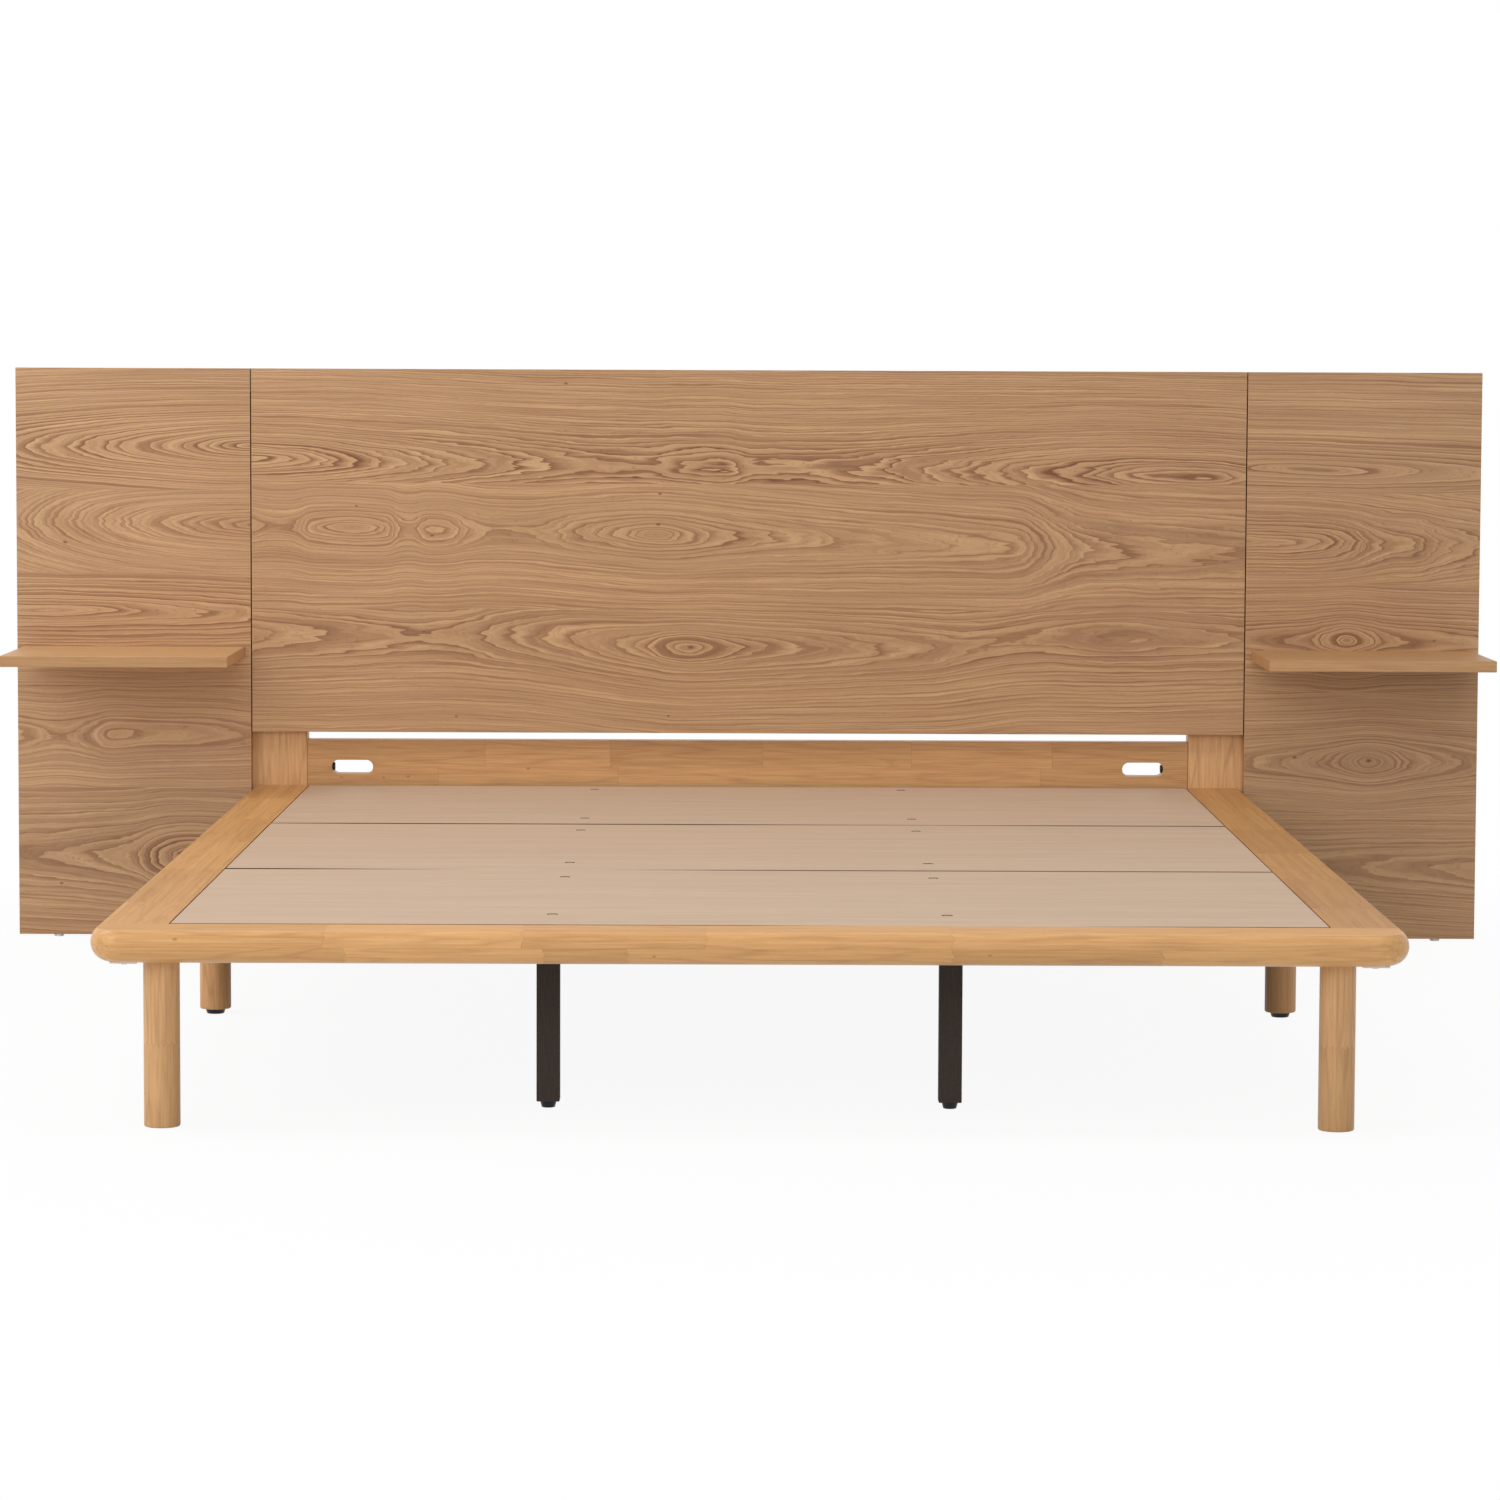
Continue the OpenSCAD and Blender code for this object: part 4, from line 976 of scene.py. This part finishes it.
glides = {"edge": 1.5 * mm}
glideParts = []
for low, high in solidBoxes("wing_glides"):
    glide = addRod("glide", (low + high) / 2, (high.x - low.x) / 2, high.z - low.z, sides=40)
    roundEdges(glide, atHeight(low.z), glides["edge"], steps=3)
    glideParts.append(glide)
finishPiece(joinPieces("wing_glides_turned", glideParts), materials["whiteNylon"],
            None, "wing_glides")
print("headboard panels and glides")


# Posts: upright edges rounded, bolts sunk in their backs

posts = {
    "corner": 3.0 * mm,
    "end": 0.8 * mm,
    "headRoom": 0.15 * mm,  # round a sunk bolt head
    "boltDepths": {"panel_bolts": 6.5 * mm, "side_rail_bolts": 8.5 * mm},
}
for side in ("left", "right"):
    node = "post_" + side
    post = addBlock(node + "_rounded", *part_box(node))
    roundEdges(post, upright, posts["corner"], steps=4)
    easeEdges(post, posts["end"], angle=60)
    for bolts, depth in posts["boltDepths"].items():
        sinkBolts(post, bolts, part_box(node), depth, posts["headRoom"], sides=48)
    finishPiece(post, materials["post"], "post_timber", node)
print("posts")


# Rear rail: two glued strips of finger jointed lengths, with a tool slot near each end

rearRail = {
    "edge": 1.6 * mm,
    "slotEdge": 0.8 * mm,
    "slotInset": 75.5 * mm,   # from the rail's end to the middle of its slot
    "slotLength": 69.0 * mm,
    "slotHeight": 23.0 * mm,
    "slotRise": 73.0 * mm,    # from the rail's underside to the middle of its slot
    "slotRoom": 0.5 * mm,     # within which an edge counts as the slot's own
    "cutter": 60 * mm,        # length of the rod that a slot is cut with
}
low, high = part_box("rear_rail_left")[0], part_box("rear_rail_right")[1]
slotX, slotZ = high.x - rearRail["slotInset"], low.z + rearRail["slotRise"]
slotHalf = Vector((rearRail["slotLength"], 0, rearRail["slotHeight"])) / 2


def roundSlot(a, b):  # on the front or the back face, by one of the slots
    room = rearRail["slotRoom"]
    return (same(a.y, b.y) and (same(a.y, low.y) or same(a.y, high.y))
            and max(abs(a.z - slotZ), abs(b.z - slotZ)) < slotHalf.z + room
            and abs(abs(a.x) - slotX) < slotHalf.x + room)


rail = addBlock("rear_rail_glued", low, high)
easeEdges(rail, rearRail["edge"], steps=3)
for side in (-1, 1):
    centre = Vector((side * slotX, (low.y + high.y) / 2, slotZ))
    cutter = addRod("slotCutter", centre, slotHalf.z, rearRail["cutter"], "Y", sides=48)
    for way in (-1, 1):  # the rod is drawn out sideways into a slot with round ends
        selectEdges(cutter, lambda a, b: min(way * (a.x - centre.x), way * (b.x - centre.x)) > touch)
        bpy.ops.transform.translate(value=(way * (slotHalf.x - slotHalf.z), 0, 0))
        bpy.ops.object.mode_set(mode="OBJECT")
    cutWith(rail, cutter)
roundEdges(rail, roundSlot, rearRail["slotEdge"], steps=2)
finishPiece(rail, materials["rearRail"], "frame_timber",
            "rear_rail", "rear_rail_left", "rear_rail_right")
print("rear rail")


# Platform: front rail round two corners, side rails behind it

platform = {
    "corner": 45.0 * mm,   # radius of the front corners, seen from above
    "cornerSteps": 14,
    "nose": 24.0 * mm,     # radius of the outer edge, which is cut off flat at the top
    "noseFlat": 0.05 * mm,  # left between its upper and its lower half
    "noseSteps": 12,
    "crease": 1.5 * mm,    # how far the crease along the top is eased
    "end": 0.3 * mm,
}


def roundNose(rail, outerEdge, creaseEdge):  # round the outer edge, and cut it off flat on top
    roundEdges(rail, outerEdge, platform["nose"] - platform["noseFlat"], platform["noseSteps"])
    reach = 2.0  # past the whole frame
    cutWith(rail, addBlock("above", (-reach, -reach, deckTop), (reach, reach, deckTop + reach)))
    roundEdges(rail, lambda a, b: atHeight(deckTop)(a, b) and creaseEdge(a, b),
               platform["crease"], steps=3)
    easeEdges(rail, platform["end"], angle=60)


low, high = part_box("front_rail")
high.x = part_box("side_rail_right")[1].x
low.x = -high.x
deckTop = high.z
high.z = low.z + 2 * platform["nose"]
frontRail = addBlock("front_rail_rounded", low, high)
roundEdges(frontRail, lambda a, b: upright(a, b) and same(a.y, low.y),
           platform["corner"], platform["cornerSteps"])
roundNose(frontRail,
          lambda a, b: same(a.z, b.z) and not (same(a.y, high.y) and same(b.y, high.y)),
          lambda a, b: min(a.y, b.y) < high.y - 1 * mm)
finishPiece(frontRail, materials["frontRail"], "frame_timber", "front_rail")

for name in ("left", "right"):
    node = "side_rail_" + name
    low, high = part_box(node)
    inner, outer = sorted((low.x, high.x), key=abs)
    high.z = low.z + 2 * platform["nose"]
    sideRail = addBlock(node + "_rounded", low, high)
    roundNose(sideRail,
              lambda a, b: lengthwise(a, b) and same(a.x, outer),
              lambda a, b: lengthwise(a, b) and abs(a.x - inner) > 1 * mm)
    finishPiece(sideRail, materials["sideRail" + name.title()], "frame_timber", node)
print("platform rails")


# Boards and their screws

deck = {
    "edge": 0.5 * mm,
    "endEdge": 5.5 * mm,      # the long edges, across the bed, are rounded more
    "recess": 6.7 * mm,       # radius of the hole that a screw head lies in
    "recessDepth": 3.4 * mm,
    "rim": 0.7 * mm,          # chamfer round that hole
    "head": 5.5 * mm,
    "headDrop": 0.5 * mm,     # below the top of the boards
    "headHeight": 2.4 * mm,
    "headEdge": 0.5 * mm,
    "shank": 2.4 * mm,
    "shankDrop": 1 * mm,      # its upper end, below the top of the head
    "point": 1.2 * mm,        # how far its lower end is rounded
    "crossWidth": 1.5 * mm,
    "crossLength": 6.4 * mm,
    "crossDepth": 1.6 * mm,
    "turns": (20, 65, 5, 80, 50, 35, 70, 10, 55, 25, 85, 40),  # degrees that each was left at
}
screwBoxes = solidBoxes("board_screws")
for node in ("board_rear", "board_middle", "board_front"):
    low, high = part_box(node)
    board = addBlock(node + "_laminated", low, high)
    roundEdges(board, lambda a, b: same(a.y, b.y) and atHeight(high.z)(a, b), deck["endEdge"],
               steps=5)
    easeEdges(board, deck["edge"])
    for screwLow, screwHigh in screwBoxes:
        middle = (screwLow + screwHigh) / 2
        if low.y < middle.y < high.y:
            depth, rim = deck["recessDepth"], deck["rim"]
            cutWith(board, addRod("recess", (middle.x, middle.y, high.z + (past - depth) / 2),
                                  deck["recess"], depth + past, sides=40))
            cutWith(board, addRod("rim", (middle.x, middle.y, high.z), deck["recess"] - rim,
                                  4 * rim, topRadius=deck["recess"] + 3 * rim, sides=40))
    finishPiece(board, materials["boards"], "laminated_board", node)

top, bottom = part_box("board_rear")[1].z - deck["headDrop"], screwBoxes[0][0].z
head = addRod("screwHead", (0, 0, top - deck["headHeight"] / 2), deck["head"], deck["headHeight"],
              sides=40)
roundEdges(head, atHeight(top), deck["headEdge"], steps=2)
for x, y in ((deck["crossLength"] / 2, deck["crossWidth"] / 2),
             (deck["crossWidth"] / 2, deck["crossLength"] / 2)):
    cutWith(head, addBlock("cross", (-x, -y, top - deck["crossDepth"]), (x, y, top + past)))
shankTop = top - deck["shankDrop"]
shank = addRod("screwShank", (0, 0, (bottom + shankTop) / 2), deck["shank"], shankTop - bottom,
               sides=20)
roundEdges(shank, atHeight(bottom), deck["point"], steps=2)
screw = joinPieces("boardScrew", [head, shank])
allScrews = []
for (low, high), angle in zip(screwBoxes, deck["turns"]):
    copied = addObject("boardScrewCopy", screw.data.copy())
    middle = (low + high) / 2
    copied.data.transform(Matrix.Translation((middle.x, middle.y, 0))
                          @ Matrix.Rotation(math.radians(angle), 4, "Z"))
    allScrews.append(copied)
bpy.data.objects.remove(screw, do_unlink=True)
finishPiece(joinPieces("board_screws_crossed", allScrews), materials["screwSteel"],
            "board_screw_steel", "board_screws")
print("boards and screws")


# Shelves, their battens, and the strips under the boards

shelves = {"edge": 1.2 * mm, "battenEdge": 1.5 * mm, "boltRoom": 0.2 * mm, "boltDepth": 6.5 * mm}
for side in ("left", "right"):
    node = "shelf_" + side
    shelf = addBlock(node + "_eased", *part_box(node))
    easeEdges(shelf, shelves["edge"], steps=3)
    finishPiece(shelf, materials["shelf" + side.title()], "shelf_timber", node)
    node = "shelf_batten_" + side
    batten = addBlock(node + "_eased", *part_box(node))
    easeEdges(batten, shelves["battenEdge"])
    sinkBolts(batten, "shelf_bolts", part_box(node), shelves["boltDepth"], shelves["boltRoom"],
              sides=40)
    finishPiece(batten, materials["paleWood"], "pale_timber", node)

strips = {"edge": 0.8 * mm}
for node, wood in (("ledger_left", "paleWoodLong"), ("ledger_right", "paleWoodLong"),
                   ("cross_ledgers", "paleWood"), ("centre_beam_left", "paleWoodLong"),
                   ("centre_beam_right", "paleWoodLong")):
    strip = mergedCopy(node, node + "_planed")
    easeEdges(strip, strips["edge"], angle=60)
    finishPiece(strip, materials[wood], "pale_timber", node)
print("shelves, battens and strips")


# Legs and feet

roundLegs = {"end": 2.4 * mm}
blackLegs = {"corner": 1.4 * mm, "end": 0.8 * mm}
seats = {"room": 0.15 * mm, "wall": 1.6 * mm, "boltRoom": 2 * mm}  # of the inserts in the legs
feet = {"rim": 0.9 * mm, "boreRoom": 0.3 * mm, "taper": 2.5 * mm}
midPlaces = ("mid_left", "mid_right")
frontPlaces = ("front_left", "front_right")
rearPlaces = ("rear_left", "rear_right")


def upTo(name, middle, radius, bottom, top, sides=32):  # a round cutter between two heights
    return addRod(name, (middle.x, middle.y, (top + bottom) / 2), radius, top - bottom, sides=sides)


def boreForStud(leg, node, place):  # the insert's seat and the bolt hole above it
    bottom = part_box(node)[0].z - past
    studLow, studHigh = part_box("foot_stud_" + place)
    middle = (studLow + studHigh) / 2
    low, high = [box for box in solidBoxes("inserts_large")
                 if box[0].x < middle.x < box[1].x and box[0].y < middle.y < box[1].y
                 and box[0].z < studHigh.z][0]
    radius = (high.x - low.x) / 2
    cutWith(leg, upTo("bore", middle, radius + seats["room"], bottom, high.z + seats["room"]))
    cutWith(leg, upTo("bore", middle, radius - seats["wall"], bottom,
                      studHigh.z + seats["boltRoom"]))


for place in frontPlaces + midPlaces:
    node = "leg_" + place
    low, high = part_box(node)
    leg = addRod(node + "_turned", (low + high) / 2, (high.x - low.x) / 2, high.z - low.z)
    roundEdges(leg, atHeight(low.z), roundLegs["end"], steps=3)
    if place in midPlaces:
        boreForStud(leg, node, place)
    finishPiece(leg, materials["midLegPaintedShade" if place in midPlaces else "legWood"], "leg_timber", node)

for place in frontPlaces + rearPlaces:
    node = "centre_leg_" + place
    leg = addBlock(node + "_sawn", *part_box(node))
    roundEdges(leg, upright, blackLegs["corner"], steps=2)
    easeEdges(leg, blackLegs["end"], steps=1, angle=60)
    boreForStud(leg, node, place)
    finishPiece(leg, materials["blackWood"], "black_timber", node)

for place in midPlaces + frontPlaces + rearPlaces:
    node = "foot_pad_" + place
    low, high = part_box(node)
    studLow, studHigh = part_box("foot_stud_" + place)
    middle, radius = (low + high) / 2, (high.x - low.x) / 2
    foot = addRod(node + "_moulded", middle, radius - feet["taper"], high.z - low.z,
                  topRadius=radius, sides=56)
    roundEdges(foot, lambda a, b: same(a.z, b.z), feet["rim"], steps=3)
    cutWith(foot, upTo("socket", middle, (studHigh.x - studLow.x) / 2 + feet["boreRoom"],
                       studLow.z, high.z + past))
    finishPiece(foot, materials["blackPlastic"], "black_plastic", node, body="pad_" + place)
print("legs and feet")


# Hardware and whatever else stays as the CAD made it

cadFinishes = {
    "zinc": ["panel_bolts", "wing_brackets", "shelf_bolts", "side_rail_bolts", "side_rail_nuts",
             "ledger_screws", "beam_hangers", "bracket_screws", "leg_studs", "centre_leg_bolts"],
    "brass": ["inserts_large", "inserts_small"],
    "blackSteel": ["rear_rail_bolts"],
    "whiteSteel": ["corner_plates"],
    "paleWood": ["corner_dowels"],
}
cadFinishes["zinc"] += ["foot_stud_" + place for place in midPlaces + frontPlaces + rearPlaces]
for finish, nodes in cadFinishes.items():
    for node in nodes:
        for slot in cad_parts[node].material_slots:
            slot.material = materials[finish]
print("hardware finishes")


# Camera where the photograph was taken from, and a plain studio

view = {
    "place": (-0.015, -7.2825, 0.9705),
    "turn": 0.00225,  # radians towards the right
    "tilt": 0.0783,   # radians down
    "roll": 0.0038,
    "focal": 4982,    # in pixels of the photograph
    "photo": 1500,
    "sensor": 36,
    "reach": 60,
}
cameraData = bpy.data.cameras.new("camera")
cameraData.sensor_fit = "HORIZONTAL"
cameraData.sensor_width = view["sensor"]
cameraData.lens = view["focal"] * view["sensor"] / view["photo"]
cameraData.clip_end = view["reach"]
camera = addObject("camera", cameraData)
turned = (Matrix.Rotation(-view["turn"], 3, "Z")
          @ Matrix.Rotation(math.pi / 2 - view["tilt"], 3, "X")
          @ Matrix.Rotation(view["roll"], 3, "Z"))
camera.matrix_world = Matrix.Translation(view["place"]) @ turned.to_4x4()
scene.camera = camera

studio = {
    "lamps": {
        "leftSoftbox": {"place": (-4.2, -3.6, 2.2), "size": (2.4, 2.4), "watts": 64},
        "topSoftbox": {"place": (0, -1.0, 4.0), "size": (5.0, 1.2), "watts": 45},
        "leftTopSoftbox": {"place": (-3.0, -0.5, 3.6), "size": (2.0, 2.0), "watts": 42},
        "frontSoftbox": {"place": (0, -6.5, 2.6), "size": (4.0, 2.0), "watts": 30},
    },
    "aim": (0, 0, 0.4),
    "ambient": 0.50,
}
for name, box in studio["lamps"].items():
    data = bpy.data.lights.new(name, "AREA")
    data.shape = "RECTANGLE"
    data.size, data.size_y = box["size"]
    data.energy = box["watts"]
    lamp = addObject(name, data)
    lamp.location = box["place"]
    aim = Vector(studio["aim"]) - Vector(box["place"])
    lamp.rotation_euler = aim.to_track_quat("-Z", "Y").to_euler()


def seenDirectly(tree):  # 1 for the camera and for what shines or is clear, 0 for light
    path = addNode(tree, "LightPath").outputs
    seen = calc(tree, "MAXIMUM", path["Is Camera Ray"], path["Is Glossy Ray"])
    return calc(tree, "MAXIMUM", seen, path["Is Transmission Ray"])


floor = {
    "size": 24.0,
    "drop": 0.2 * mm,     # under the feet
    "albedo": 0.85,
    "nearWhite": 0.93,    # share of plain white that the camera sees near the bed
    "nearReach": 1.3,     # from here on it grows, to plain white at farReach
    "farReach": 2.6,
}
deselectAll()
bpy.ops.mesh.primitive_plane_add(size=floor["size"], location=(0, 0, -floor["drop"]))
ground = bpy.context.object
ground.name = "studio_floor"
applyPlace(ground)
made = bpy.data.materials.new("studioFloor")
made.use_nodes = True
tree = made.node_tree
tree.nodes.remove(tree.nodes["Principled BSDF"])
distance = lengthOf(tree, addNode(tree, "TexCoord").outputs["Object"])
white = between(tree, distance, floor["nearReach"], floor["farReach"], floor["nearWhite"], 1.0)
matt = addNode(tree, "BsdfDiffuse", {"Color": grey(floor["albedo"])})
glow = addNode(tree, "Emission", {"Color": grey(1), "Strength": 1})
mixed = addNode(tree, "MixShader", {0: times(tree, seenDirectly(tree), white),
                                    1: matt.outputs["BSDF"], 2: glow.outputs["Emission"]})
feed(tree, tree.nodes["Material Output"].inputs["Surface"], mixed.outputs["Shader"])
ground.data.materials.append(made)

world = bpy.data.worlds.new("studio")
scene.world = world
world.use_nodes = True
tree = world.node_tree
background = tree.nodes["Background"].inputs
background["Color"].default_value = grey(1)
feed(tree, background["Strength"], between(tree, seenDirectly(tree), 0, 1, studio["ambient"], 1))

scene.view_settings.view_transform = "Standard"
